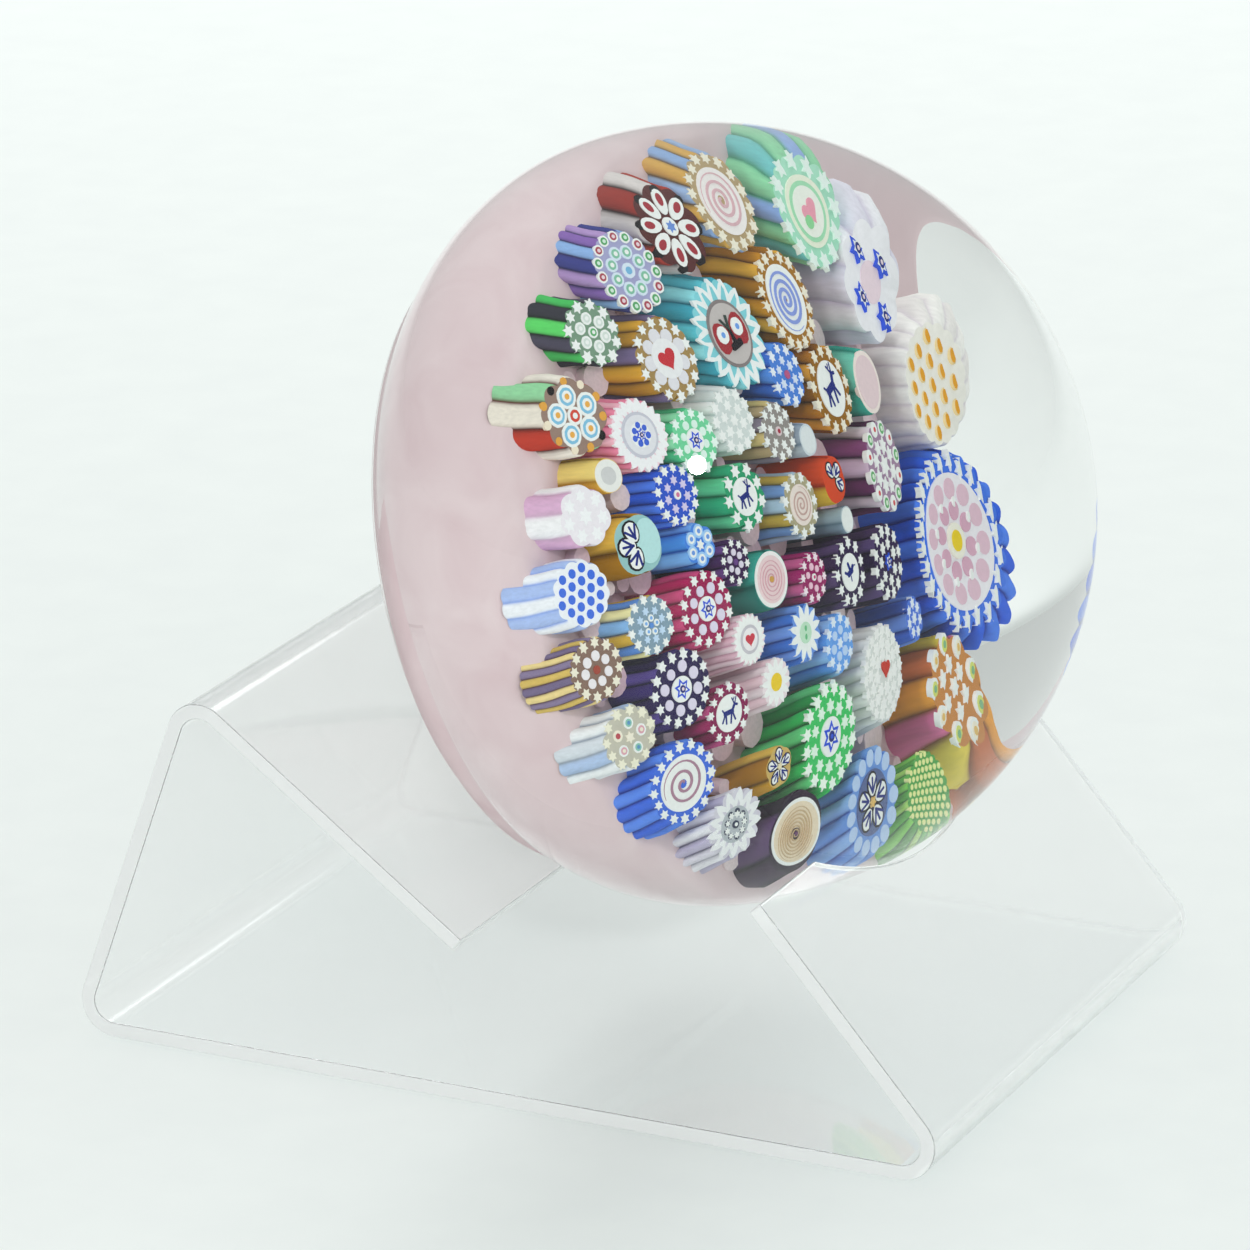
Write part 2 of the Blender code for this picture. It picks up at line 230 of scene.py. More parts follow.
def see_through(name, code, roughness, ior, transmission, ripple_scale, ripple):
    """A clear solid. Shadow and diffuse rays pass straight through, so light reaches what it holds."""
    material, tree = new_material(name)
    waves = cloudy(tree, object_place(tree), ripple_scale)
    shader = glaze(
        tree,
        Base_Color=linear(code),
        Roughness=roughness,
        IOR=ior,
        Transmission_Weight=transmission,
        Normal=uneven(tree, waves, ripple, 1.0),
    )
    clear = add_node(tree, "ShaderNodeBsdfTransparent", links={"Color": linear("FCFDFD")}).outputs[0]
    path = add_node(tree, "ShaderNodeLightPath")
    for ray in ("Is Diffuse Ray", "Is Shadow Ray"):
        inputs = {0: path.outputs[ray], 1: shader, 2: clear}
        shader = add_node(tree, "ShaderNodeMixShader", links=inputs).outputs[0]
    return surfaced(material, shader)


def lead_crystal():
    """Clear lead glass, fire-polished over the dome and ground flat below: bright, with a faint ripple."""
    return see_through("fire_polished_lead_crystal", "FBFDFC", 0.0, 1.5, 1.0, 90.0, 0.004 * MM)


def cast_acrylic():
    """Heat-bent acrylic sheet, polished but handled: clear, with a grey-white haze of fine scuffs."""
    return see_through("heat_bent_acrylic", "FFFFFF", 0.05, 1.49, 0.87, 260.0, 0.006 * MM)


def flame_polished_edge():
    """The sheet's cut edge, flame-polished: it gathers the sheet's light, so it is paler and milkier."""
    return see_through("flame_polished_acrylic_edge", "FFFFFF", 0.15, 1.49, 0.22, 400.0, 0.01 * MM)


def drawn_glass(name, streak_mm, strength, bump_depth):
    """Opaque coloured glass pulled into rod: the piece's own tint, with streaks along the pull."""
    material, tree = new_material(name)
    along = add_node(
        tree,
        "ShaderNodeMapping",
        {"vector_type": "TEXTURE"},
        {"Vector": object_place(tree), "Rotation": (SETTING_TILT, 0, 0), "Scale": (1, 1, PULL_STRETCH)},
    )
    streaks = cloudy(tree, along.outputs["Vector"], 1 / (streak_mm * MM), 3.0)
    tint = add_node(tree, "ShaderNodeAttribute", {"attribute_name": "tint"})
    shade = ramp(tree, streaks, 0.3, 0.7, 1 - strength, 1 + strength * 0.4)
    inputs = {0: tint.outputs["Color"], "Scale": shade}
    colour = add_node(tree, "ShaderNodeVectorMath", {"operation": "SCALE"}, inputs)
    shader = glaze(
        tree,
        Base_Color=colour.outputs["Vector"],
        Roughness=0.4,
        Specular_IOR_Level=0.0,
        Normal=uneven(tree, streaks, bump_depth, 0.6),
    )
    return surfaced(material, shader)


def pink_ground_glass():
    """Opaque pale pink glass gathered over the canes' feet: cloudy, with fine mauve veins in its folds, and a
    darker mauve painted on as shade where it shows between the canes.
    """
    material, tree = new_material("gathered_pink_opaque_glass")
    place = object_place(tree)
    clouds = cloudy(tree, place, 1 / CLOUD_SIZE, 4.0, 0.8)
    pink = between(tree, clouds, linear("D8BBC0"), linear("EEDCDE"))
    veins = cloudy(tree, place, 1 / VEIN_SIZE, 2.0, 1.2, "RIDGED_MULTIFRACTAL")
    veined = between(tree, ramp(tree, veins, 0.66, 1.05, 0.0, 0.55), pink, linear("BE9DB2"))
    painted_gap_shades = add_node(tree, "ShaderNodeAttribute", {"attribute_name": "painted_gap_shade"})
    shader = glaze(
        tree,
        # painted shade: darker mauve where the ground lies between the canes
        Base_Color=between(tree, painted_gap_shades.outputs["Fac"], veined, linear("CDA8B8")),
        Roughness=0.45,
        Specular_IOR_Level=0.0,
        Normal=uneven(tree, clouds, 0.25 * MM, 0.5),
    )
    return surfaced(material, shader)


def backdrop_paper():
    """Matt white backdrop paper: almost even, with a soft mottle."""
    material, tree = new_material("matt_white_paper")
    mottle = cloudy(tree, object_place(tree), 1 / (9 * MM), 5.0)
    colour = between(tree, mottle, linear("ECEFEE"), linear("F2F5F3"))
    return surfaced(material, glaze(tree, Base_Color=colour, Roughness=0.9, Specular_IOR_Level=0.1))


# ---- mesh helpers -----------------------------------------------------------------------------


def polar(radius, angle):
    return radius * math.cos(angle), radius * math.sin(angle)


def new_object(name, data):
    """Adds an object to the scene, at its origin."""
    obj = bpy.data.objects.new(name, data)
    bpy.context.scene.collection.objects.link(obj)
    return obj


class Shell:
    """Points and faces gathered for one piece, with a colour for every corner of every face."""

    def __init__(self):
        self.points, self.faces, self.tints, self.glasses = [], [], [], []

    def add(self, corners, colours, glass=1):
        """A face, of side glass 0 or cut-face glass 1."""
        self.faces.append(corners)
        self.glasses.append(glass)
        self.tints += colours if isinstance(colours, list) else [colours] * len(corners)

    def prism(self, top, bottom, colour):
        """A closed chip between two outlines of the same length, each filled from its own middle."""
        count, first = len(top), len(self.points)
        self.points += top + bottom
        self.points += [sum(top, Vector()) / count, sum(bottom, Vector()) / count]
        upper, lower = first + 2 * count, first + 2 * count + 1
        for step in range(count):
            a, b = first + step, first + (step + 1) % count
            self.add([a, b, upper], colour)
            self.add([b + count, a + count, lower], colour)
            self.add([a, a + count, b + count, b], colour)

    def ribbon(self, left, right, sunk_left, sunk_right, colour):
        """A closed strip between two lines, with its underside sunk into the face."""
        count, first = len(left), len(self.points)
        self.points += left + right + sunk_right + sunk_left
        for step in range(count - 1):
            for side in range(4):
                a, b = first + side * count + step, first + (side + 1) % 4 * count + step
                self.add([a, b, b + 1, a + 1], colour)
        for end in (0, count - 1):
            self.add([first + side * count + end for side in range(4)], colour)


def finish_mesh(name, mesh, *materials, smooth_angle=40):
    """Merges doubles, turns faces outwards, and makes the piece's object at the origin."""
    work = bmesh.new()
    work.from_mesh(mesh)
    bmesh.ops.remove_doubles(work, verts=work.verts, dist=1e-7)
    bmesh.ops.recalc_face_normals(work, faces=work.faces)
    work.to_mesh(mesh)
    work.free()
    mesh.shade_smooth()
    mesh.set_sharp_from_angle(angle=math.radians(smooth_angle))
    glasses = [face.material_index for face in mesh.polygons]
    mesh.materials.clear()
    for material in materials:
        mesh.materials.append(material)
    mesh.polygons.foreach_set("material_index", glasses)
    return new_object(name, mesh)


def piece_from(shell, name, *materials):
    mesh = bpy.data.meshes.new(name)
    mesh.from_pydata(shell.points, [], shell.faces)
    mesh.polygons.foreach_set("material_index", shell.glasses)
    tint = mesh.color_attributes.new("tint", "FLOAT_COLOR", "CORNER")
    tint.data.foreach_set("color", [part for colour in shell.tints for part in colour])
    return finish_mesh(name, mesh, *materials)


def turned(profile, sides):
    """Points and faces of a profile of (radius, height), turned about Z. Its ends lie on the axis."""
    points, faces, rings = [], [], []
    for radius, height in profile:
        if radius == 0:
            rings.append([len(points)] * sides)
            points.append(Vector((0.0, 0.0, height)))
            continue
        rings.append(list(range(len(points), len(points) + sides)))
        for step in range(sides):
            points.append(Vector((*polar(radius, 2 * math.pi * step / sides), height)))
    for upper, lower in zip(rings, rings[1:]):
        for step in range(sides):
            after = (step + 1) % sides
            faces.append(list(dict.fromkeys([upper[step], lower[step], lower[after], upper[after]])))
    return points, faces


# ---- the setting's shape ----------------------------------------------------------------------


def dome_height(radius, centre, rim):
    return centre - (centre - rim) * (radius / RIM_RADIUS) ** 2


def smooth_step(value, low, high):
    share = max(0.0, min(1.0, (value - low) / (high - low)))
    return share * share * (3 - 2 * share)


def splay_share(x, y):
    """1 in the middle of the side where the outer canes lie over, 0 on the rest."""
    away = abs(math.remainder(math.atan2(y, x) - SPLAY_MIDDLE, 2 * math.pi))
    return 1 - smooth_step(away, SPLAY_HALF, SPLAY_HALF + SPLAY_FADE)


def face_height(x, y):
    radius = math.hypot(x, y)
    lift = SPLAY_LIFT * max(0.0, radius - SPLAY_START) ** 2 * splay_share(x, y)
    return dome_height(radius, CANE_TOP_CENTRE, CANE_TOP_RIM) + lift


def setting_point(x, y, share):
    """A point of the cane bundle in its own frame: share 0 on the faces, 1 at the feet."""
    foot = dome_height(math.hypot(x, y), GROUND_TOP_CENTRE, GROUND_TOP_RIM)
    depth = share * (face_height(x, y) - foot)
    spread = 1 + CANE_SPREAD * depth
    return Vector((x * spread, y * spread, face_height(x, y) - depth))


def on_face(x, y, lift):
    """A point at a height over the dome of cane faces, in the part's own frame."""
    return TO_SETTING @ Vector((x, y, face_height(x, y) + lift))


def cane_place(node):
    """Centre and radius of a CAD cane's cut face, in the setting's frame."""
    back = TO_SETTING.inverted()
    rim = []
    for vertex in frame["nodes"][node].data.vertices:
        point = back @ vertex.co
        if abs(point.z - dome_height(point.xy.length, CANE_TOP_CENTRE, CANE_TOP_RIM)) < FACE_TOLERANCE:
            rim.append(point)
    low = [min(point[axis] for point in rim) for axis in (0, 1)]
    high = [max(point[axis] for point in rim) for axis in (0, 1)]
    return (low[0] + high[0]) / 2, (low[1] + high[1]) / 2, (high[0] - low[0]) / 2


# ---- chips and rods on a cut face ---------------------------------------------------------------


class Face:
    """A cane's cut face. Sizes and places in its recipe are shares of the cane's radius."""

    def __init__(self, shell, rods, x, y, radius, turn):
        self.shell, self.rods = shell, rods
        self.x, self.y, self.radius, self.turn = x, y, radius, turn
        self.lift = CHIP_LIFT

    def place(self, x, y):
        """Face coordinates to the setting's frame."""
        c, s = math.cos(self.turn), math.sin(self.turn)
        return self.x + (x * c - y * s) * self.radius, self.y + (x * s + y * c) * self.radius

    def chip(self, outline, code):
        top = [on_face(*self.place(x, y), self.lift) for x, y in outline]
        bottom = [on_face(*self.place(x, y), -CHIP_SINK) for x, y in outline]
        self.shell.prism(top, bottom, linear(code))

    def rod(self, kind, x, y, size, code, turn=0.0):
        px, py = self.place(x, y)
        self.rods[kind].append((px, py, self.lift, size * self.radius, turn + self.turn, linear(code)))

    def disc(self, size, code, x=0.0, y=0.0, squash=1.0):
        steps = 40
        angles = [2 * math.pi * step / steps for step in range(steps)]
        self.chip([(x + size * math.cos(a), y + size * squash * math.sin(a)) for a in angles], code)

    def dot(self, size, code, x=0.0, y=0.0):
        self.rod("round", x, y, size, code)

    def star(self, size, code, x=0.0, y=0.0):
        self.rod("star", x, y, size, code, random.uniform(0, math.pi))

    def ring(self, kind, count, ring, size, *codes):
        """Stars or round rods in a ring, their colours in turn."""
        for step in range(count):
            angle = 2 * math.pi * (step + 0.5) / count
            wobble = random.uniform(-0.03, 0.03)
            x, y = polar(ring + wobble, angle)
            self.rod(kind, x, y, size * random.uniform(0.92, 1.06), codes[step % len(codes)], angle)

    def tube(self, size, codes, x=0.0, y=0.0):
        """Layers of colour one inside another, the first outermost."""
        before = self.lift
        for layer, code in enumerate(codes):
            self.rod("round", x, y, size * (1 - layer / len(codes)), code)
            self.lift += CHIP_STEP
        self.lift = before

    def tubes(self, count, ring, size, *layers):
        for step in range(count):
            angle = 2 * math.pi * (step + 0.25) / count
            self.tube(size, layers[step % len(layers)], *polar(ring, angle))

    def honeycomb(self, reach, spacing, size, code):
        """Dots on a hexagonal grid that fills the face out to reach."""
        span = int(reach / spacing) + 2
        for row in range(-span, span + 1):
            for column in range(-span, span + 1):
                x = (column + row % 2 / 2) * spacing
                y = row * spacing * math.sqrt(3) / 2
                if math.hypot(x, y) <= reach:
                    self.dot(size, code, x, y)

    def daisy(self, size, points, inner, code):
        """A disc with a pointed fringe."""
        outline = []
        for step in range(4 * points):
            share = abs((step % 4) - 2) / 2
            radius = size * (inner + (1 - inner) * (1 - share) ** 0.8)
            angle = 2 * math.pi * step / (4 * points)
            outline.append(polar(radius, angle))
        self.chip(outline, code)

    def petals(self, count, ring, length, width, code, first=0.0, last=360.0):
        """Ovals pointing outwards, from the first clock angle to the last."""
        steps = 14
        for step in range(count):
            angle = math.radians(first + (last - first) * (step + 0.5) / count)
            c, s = math.cos(angle), math.sin(angle)
            outline = []
            for turn in range(steps):
                along = ring + length / 2 * math.cos(2 * math.pi * turn / steps)
                across = width / 2 * math.sin(2 * math.pi * turn / steps) * (0.8 + along / ring * 0.25)
                outline.append((along * c - across * s, along * s + across * c))
            self.chip(outline, code)

    def strokes(self, petals, ring, length, width, code, first=0.0, last=360.0):
        """Three thin lines fanned over each petal."""
        for step in range(petals):
            middle = first + (last - first) * (step + 0.5) / petals
            for fan in (-1, 0, 1):
                angle = math.radians(middle + fan * 15)
                lean = math.radians(middle + fan * 34)
                x, y = polar(ring, angle)
                dx, dy = polar(length / 2, lean)
                self.bar(x - dx, y - dy, x + dx, y + dy, width, code)

    def bar(self, x0, y0, x1, y1, width, code):
        """A short rounded bar between two points."""
        along = Vector((x1 - x0, y1 - y0)).normalized() * width / 2
        across = Vector((-along.y, along.x))
        outline = []
        for end, way in (((x0, y0), -1), ((x1, y1), 1)):
            for side, push in ((1, 0.3), (0.6, 0.8), (-0.6, 0.8), (-1, 0.3)):
                reach = way * (along * push - across * side)
                outline.append((end[0] + reach.x, end[1] + reach.y))
        self.chip(outline, code)

    def motif(self, bars, size, code, x=0.0, y=0.0):
        """A silhouette made of bars, upright on the weight."""
        upright = -self.turn
        c, s = math.cos(upright), math.sin(upright)
        for x0, y0, x1, y1, width in bars:
            start = (x + size * (x0 * c - y0 * s), y + size * (x0 * s + y0 * c))
            end = (x + size * (x1 * c - y1 * s), y + size * (x1 * s + y1 * c))
            self.bar(*start, *end, width * size, code)

    def heart(self, size, code, x=0.0, y=0.0):
        c, s = math.cos(-self.turn), math.sin(-self.turn)
        outline = []
        for step in range(32):
            t = 2 * math.pi * step / 32
            hx = math.sin(t) ** 3 * size
            hy = (13 * math.cos(t) - 5 * math.cos(2 * t) - 2 * math.cos(3 * t) - math.cos(4 * t)) / 17 * size
            outline.append((x + hx * c - hy * s, y + hx * s + hy * c))
        self.chip(outline, code)

    def spiral(self, size, turns, width, code):
        """A line of colour rolled up in the rod."""
        steps = int(turns * 26)
        left, right = [], []
        for step in range(steps + 1):
            share = 0.06 + 0.94 * step / steps
            angle = 2 * math.pi * turns * share
            for line, offset in ((left, -width / 2), (right, width / 2)):
                radius = size * share + offset * min(1.0, 4 * (1.02 - step / steps))
                line.append(polar(radius, angle))
        raised = [[on_face(*self.place(*p), self.lift) for p in line] for line in (left, right)]
        sunk = [[on_face(*self.place(*p), -CHIP_SINK) for p in line] for line in (left, right)]
        self.shell.ribbon(*raised, *sunk, linear(code))

    def outlined_star(self, size, x=0.0, y=0.0, heart=PALE_PINK):
        """A white-filled blue star round a dark dot."""
        turn = random.uniform(0, math.pi)
        before = self.lift
        for share, kind, code in ((1.0, "star", ROYAL), (0.66, "star", WHITE), (0.36, "round", NAVY)):
            self.rod(kind, x, y, size * share, code, turn)
            self.lift += CHIP_STEP
        self.rod("round", x, y, size * 0.16, heart)
        self.lift = before

    def draw(self, recipe):
        for kind, *values in recipe:
            getattr(self, kind)(*values)
            self.lift += CHIP_STEP


# Silhouettes: bars of (x0, y0, x1, y1, width)
STAG = [
    (-0.45, 0.0, 0.3, 0.1, 0.34),
    (0.3, 0.15, 0.5, 0.5, 0.2),
    (0.5, 0.55, 0.78, 0.48, 0.16),
    (-0.45, -0.1, -0.7, -0.6, 0.12),
    (-0.35, -0.1, -0.3, -0.7, 0.12),
    (0.22, -0.05, 0.15, -0.7, 0.12),
    (0.33, 0.0, 0.6, -0.5, 0.12),
    (0.48, 0.6, 0.25, 0.98, 0.08),
    (0.55, 0.6, 0.68, 1.0, 0.08),
    (0.36, 0.8, 0.5, 1.0, 0.06),
    (-0.55, 0.1, -0.72, 0.28, 0.1),
]
BIRD = [
    (-0.35, -0.1, 0.25, 0.08, 0.42),
    (0.3, 0.2, 0.45, 0.35, 0.28),
    (0.55, 0.38, 0.8, 0.34, 0.09),
    (-0.4, -0.1, -0.85, 0.12, 0.2),
    (0.0, 0.1, -0.25, 0.65, 0.26),
    (0.0, -0.3, 0.02, -0.65, 0.08),
]
FEELERS = [(0.0, 0.15, -0.2, 0.6, 0.06), (0.0, 0.15, 0.2, 0.6, 0.06)]
MOTH_BODY = [(0.0, -0.45, 0.0, 0.2, 0.16), (-0.3, -0.5, 0.3, -0.5, 0.3)]


def starred(count, size, code=WHITE, ring=0.84):
    return ("ring", "star", count, ring, size, code)


def starred_twice(count, size, inner, ring, inner_size):
    """Stars round the rim and a smaller ring of them inside."""
    return [starred(count, size, WHITE, 0.82), ("ring", "star", inner, ring, inner_size, WHITE)]


def pansy(count, ring, length, width, first=0.0, last=360.0):
    return [
        ("petals", count, ring, length, width, INK, first, last),
        ("petals", count, ring, length * 0.84, width * 0.8, WHITE, first, last),
        ("strokes", count, ring * 0.95, length * 0.55, width * 0.13, NAVY, first, last),
    ]


def stag_disc(size):
    return [("disc", size, WHITE), ("motif", STAG, size * 0.78, NAVY)]


def starry(count, centre):
    """The commonest cane: a ring of stars, a ring of round rods, and an outlined star."""
    return [
        starred(count, 0.155),
        ("ring", "round", 8, 0.53, 0.15, LILAC),
        ("disc", centre, WHITE),
        ("outlined_star", centre * 0.85),
    ]


# Each cane: lobes round it, lobe depth, side colours, seam colour, face colour, recipe of the face
RECIPES = {
    "cane_amber_dots": (18, 0.05, ["FBF8F4", "F4EFEC"], "E8E0E4", "F8F4EC", [
        ("honeycomb", 0.86, 0.38, 0.135, "F0D8A0"),
        ("honeycomb", 0.86, 0.38, 0.11, "EDA522"),
    ]),
    "cane_four_blue_stars": (8, 0.14, ["F6F4FA", "E8E4F2"], "D8D0E4", "F7F5FA", [
        ("disc", 0.34, "F2DCE6"),
        ("outlined_star", 0.27, 0.02, 0.62),
        ("outlined_star", 0.27, 0.5, 0.06),
        ("outlined_star", 0.27, -0.46, 0.0),
        ("outlined_star", 0.27, 0.02, -0.62),
    ]),
    "cane_mint_heart": (13, 0.12, ["8ED9A8", "8FB0E8", "8ED9A8", "6FC8C8"], "4FA888", "A8E4C8", [
        starred(13, 0.2, "ECFBF4"),
        ("disc", 0.62, "F0F4E0"),
        ("disc", 0.52, "A4E2B8"),
        ("disc", 0.44, "F2F6EC"),
        ("heart", 0.24, "F0A0B4", 0.04, 0.0),
        ("disc", 0.12, "8FD89A", -0.12, -0.14),
    ]),
    "cane_ochre_spiral": (14, 0.12, ["D9A850", "9DB8E0", "D9A850", "8FAEDC"], "6A5234", "B8A078", [
        starred(16, 0.15, CREAM),
        ("disc", 0.66, "F6F0EE"),
        ("spiral", 0.6, 3.5, 0.055, "DDB4BC"),
    ]),
    "cane_red_petals": (8, 0.16, ["B03A2E", "DCD4D2", "9A3028", "C8C0C0"], "2E1418", "5A2A2A", [
        ("ring", "round", 8, 0.84, 0.13, "1E1A1E"),
        ("petals", 8, 0.55, 0.6, 0.34, WHITE),
        ("petals", 8, 0.6, 0.3, 0.17, "A83440"),
        ("disc", 0.2, WHITE),
        ("star", 0.15, "6F94DC"),
    ]),
    "cane_purple_tubes": (16, 0.1, ["8A66B4", "8FB4E8", "3A3F8A", "B494CC"], "2A2458", "A8A8D0", [
        ("tubes", 15, 0.84, 0.16, [WHITE, "58A86A", "D8F0E0"], [WHITE, "B04858", "F0D8E0"]),
        ("tubes", 8, 0.46, 0.19, ["DCEAF8", "86C4A8", WHITE]),
        ("tube", 0.2, ["DCEAF8", "7AB8E0"]),
    ]),
    "cane_green_cluster": (11, 0.13, ["5FD96A", "4A4658", "48C060", "34343E"], "16241A", "7A9A82", [
        starred(11, 0.21, WHITE, 0.8),
        ("tubes", 6, 0.42, 0.2, [WHITE, "DCE6E0", WHITE]),
        ("tube", 0.18, [WHITE, "5FB070", WHITE]),
    ]),
    "cane_red_flower_tubes": (8, 0.14, ["C23B2A", "F4ECE0", "98D8A4", "F0E6D8"], "5A201A", "9A8074", [
        ("ring", "round", 11, 0.86, 0.12, "E8A848", "F6E8D0", "E8A848", "1A1618", "E8A848", "F6E8D0"),
        ("tubes", 5, 0.5, 0.32, [WHITE, "86C4E4", WHITE, "F0B050"]),
        ("tube", 0.24, [WHITE, "D84A3A", WHITE]),
    ]),
    "cane_lilac_stripes": (7, 0.12, ["E2B4D6", "FAF8FA"], "D4AECA", "F4EEF4", [
        starred(7, 0.24, "FBFBFD", 0.66),
        ("star", 0.3, "FBFBFD"),
    ]),
    "cane_blue_honeycomb": (13, 0.08, ["F6F8FE", "B0C6F6"], "94AEEE", "F6F8FE", [
        ("honeycomb", 0.84, 0.37, 0.14, "3F70E4"),
    ]),
    "cane_yellow_mauve": (22, 0.08, ["F2D894", "8A7A9C", "DDBC62", "77688C"], "4A2434", "8A6E60", [
        starred(12, 0.19, CREAM, 0.8),
        ("ring", "round", 7, 0.42, 0.17, "F4EEF2"),
        ("dot", 0.14, "A84838"),
    ]),
    "cane_white_grey": (11, 0.13, ["F4F6F8", "DCE2EA", "B4CAEC", "F4F6F8"], "98A2B2", "C8C4B4", [
        starred(11, 0.19, "F6F2DC", 0.82),
        ("tubes", 5, 0.44, 0.19, [WHITE, "E0A8B4", CREAM], [WHITE, "8FC8B8", "5F98C8"], [CREAM, "C0505A"]),
        ("star", 0.2, CREAM),
    ]),
    "cane_royal_spiral": (15, 0.13, ["3A6AE0", "5A8CF2"], "14288A", "3F6FE0", [
        starred(16, 0.15),
        ("disc", 0.66, WHITE),
        ("spiral", 0.6, 2.6, 0.06, "B0869A"),
    ]),
    "cane_lilac_daisy": (13, 0.22, ["F2F0F6", "C4BCD6", "E2DEEA"], "86809A", "DAD6E2", [
        ("daisy", 0.98, 13, 0.66, "F4F5F6"),
        ("disc", 0.5, "BCC2C8"),
        ("ring", "round", 9, 0.34, 0.1, "3A4058"),
        ("ring", "star", 9, 0.3, 0.11, WHITE),
        ("tube", 0.12, ["3A4058", WHITE]),
    ]),
    "cane_dark_cream_spiral": (5, 0.05, ["3A2340", "2C1C34", "5C426C"], "180C1C", "2A1830", [
        ("disc", 0.9, WHITE, 0.02, 0.02, 0.86),
        ("disc", 0.82, "EEDDC2", 0.02, 0.02, 0.84),
        ("spiral", 0.66, 8.0, 0.028, "D0B48E"),
        ("dot", 0.06, "6A4068"),
    ]),
    "cane_blue_pansy": (15, 0.12, ["6A9CEC", "8FBAF6"], "2A50AC", "6E9CE4", [
        ("petals", 15, 0.8, 0.32, 0.27, "BCD4F6"),
        ("disc", 0.58, "5A6A9A"),
        *pansy(5, 0.32, 0.48, 0.36),
        ("star", 0.12, "EAC070"),
    ]),
    "cane_green_lines": (26, 0.07, ["86DC54", "4FA838", "B0E468", "5FC046"], "247424", "4FA848", [
        ("honeycomb", 0.9, 0.2, 0.075, "F2F4A4"),
    ]),
    "cane_orange_cluster": (9, 0.12, ["F4A434", "E274A8", "EAD24A", "CC6E3C"], "8A4A20", "D08A44", [
        ("tubes", 9, 0.78, 0.22, [WHITE, "DCE27A", "86BC8E"], [WHITE, CREAM, "E8C070"]),
        ("ring", "star", 6, 0.4, 0.2, WHITE),
        ("star", 0.2, WHITE),
    ]),
    "cane_big_blue_rose": (24, 0.09, ["2A64E8", "4C84F6"], "0E2C98", "3F78EC", [
        starred(24, 0.125, WHITE, 0.87),
        ("disc", 0.76, "F4F0F6"),
        ("petals", 12, 0.58, 0.24, 0.24, "E6C2D2"),
        ("petals", 8, 0.34, 0.22, 0.2, "DCACC2"),
        ("ring", "round", 8, 0.46, 0.06, WHITE),
        ("disc", 0.2, "F6F2E4"),
        ("disc", 0.12, "F2D222"),
    ]),
    "cane_yellow_tube": (4, 0.04, ["ECC452", "F4D87C", "DCA836"], "A87818", "F2D080", [
        ("disc", 0.9, "F0F0EC"),
        ("disc", 0.5, "D4D4D4"),
    ]),
    "cane_teal_tube": (4, 0.04, ["3CB4A0", "74D4BE"], "1F8474", "8ADAC8", [
        ("disc", 0.94, "F8EAE4"),
        ("disc", 0.8, "ECD4D8"),
    ]),
    "cane_amber_spiral": (14, 0.14, ["C98A1E", "E4AC3C", "A06A14"], "4E3006", "A87420", [
        starred(18, 0.14, CREAM, 0.86),
        ("disc", 0.68, WHITE),
        ("spiral", 0.62, 3.8, 0.07, "8A9EE2"),
    ]),
    "cane_gold_heart": (13, 0.12, ["DDA432", "B8862A", "766890"], "4E3014", "A88A54", [
        starred(14, 0.15),
        ("ring", "round", 9, 0.54, 0.18, "E8E6EC"),
        ("disc", 0.46, "F2F2F4"),
        ("heart", 0.28, "CC323C"),
    ]),
    "cane_pink_daisy": (20, 0.1, ["F088A6", "F8B8C8"], "C4547C", "F4D4DE", [
        ("daisy", 1.0, 22, 0.84, "F8F8FA"),
        ("disc", 0.62, "CCCCD8"),
        ("disc", 0.54, "E8E8EE"),
        ("disc", 0.34, WHITE),
        ("ring", "round", 7, 0.24, 0.09, "3F66D8"),
        ("outlined_star", 0.2),
    ]),
    "cane_mustard_half_pansy": (4, 0.1, ["CC961E", "E4B444", "A87414"], "5E3C06", "9AC8C8", [
        ("disc", 0.5, "BCE6E6", 0.4, 0.05, 1.4),
        *pansy(3, 0.45, 0.78, 0.6, 80, 280),
    ]),
    "cane_yellow_blue_cluster": (12, 0.12, ["F2EAAC", "8ABCEE", "D4AC3C", "5A8CD6"], "445468", "86A0B2", [
        starred(12, 0.18),
        ("ring", "star", 8, 0.5, 0.16, "C8E0F8"),
        ("tubes", 5, 0.24, 0.12, [WHITE, "7FB4EE"]),
        ("dot", 0.09, "5F94E0"),
    ]),
    "cane_navy_star": (14, 0.13, ["3A2A6C", "2A1C4E", "56448E"], "120A24", "2C2050", starry(14, 0.32)),
    "cane_crimson_stag": (12, 0.13, ["A02460", "7A1848", "C24A84"], "440826", "8A2054", [
        starred(12, 0.17),
        *stag_disc(0.6),
    ]),
    "cane_mustard_pansy": (5, 0.1, ["D29C2C", "EAC454", "B07A1A"], "624208", "D4B468", [
        *pansy(5, 0.5, 0.8, 0.5),
        ("star", 0.2, "F0E4C0"),
    ]),
    "cane_small_blue_flower": (7, 0.14, ["3A66D0", "6F9AF2"], "16308A", "4F7AE0", [
        starred(7, 0.27, "E8F0FC", 0.64),
        ("star", 0.3, "E8F0FC"),
    ]),
    "cane_amber_stag": (12, 0.14, ["B9781E", "DD9C34", "8A560E"], "422804", "9A6818", [
        starred(13, 0.16, CREAM),
        *stag_disc(0.62),
    ]),
    "cane_blue_star_cluster": (10, 0.13, ["5896EE", "3C74D8"], "1A3A94", "4A84DE", [
        starred(10, 0.19, "EEF4FE", 0.8),
        ("ring", "star", 6, 0.42, 0.18, "DCE8FC"),
        ("dot", 0.14, "C05A88"),
    ]),
    "cane_turquoise_butterfly": (15, 0.14, ["5AC4D4", "92E0E8", "3CA6BC"], "1A7084", "84D4DE", [
        ("daisy", 0.99, 16, 0.76, "F4F8F8"),
        ("disc", 0.6, "8A8080"),
        ("disc", 0.54, "C8C0BE"),
        ("petals", 2, 0.27, 0.48, 0.54, "A83038", -90, 270),
        ("tube", 0.17, [WHITE, WHITE, "6FA4EC"], -0.25, 0.05),
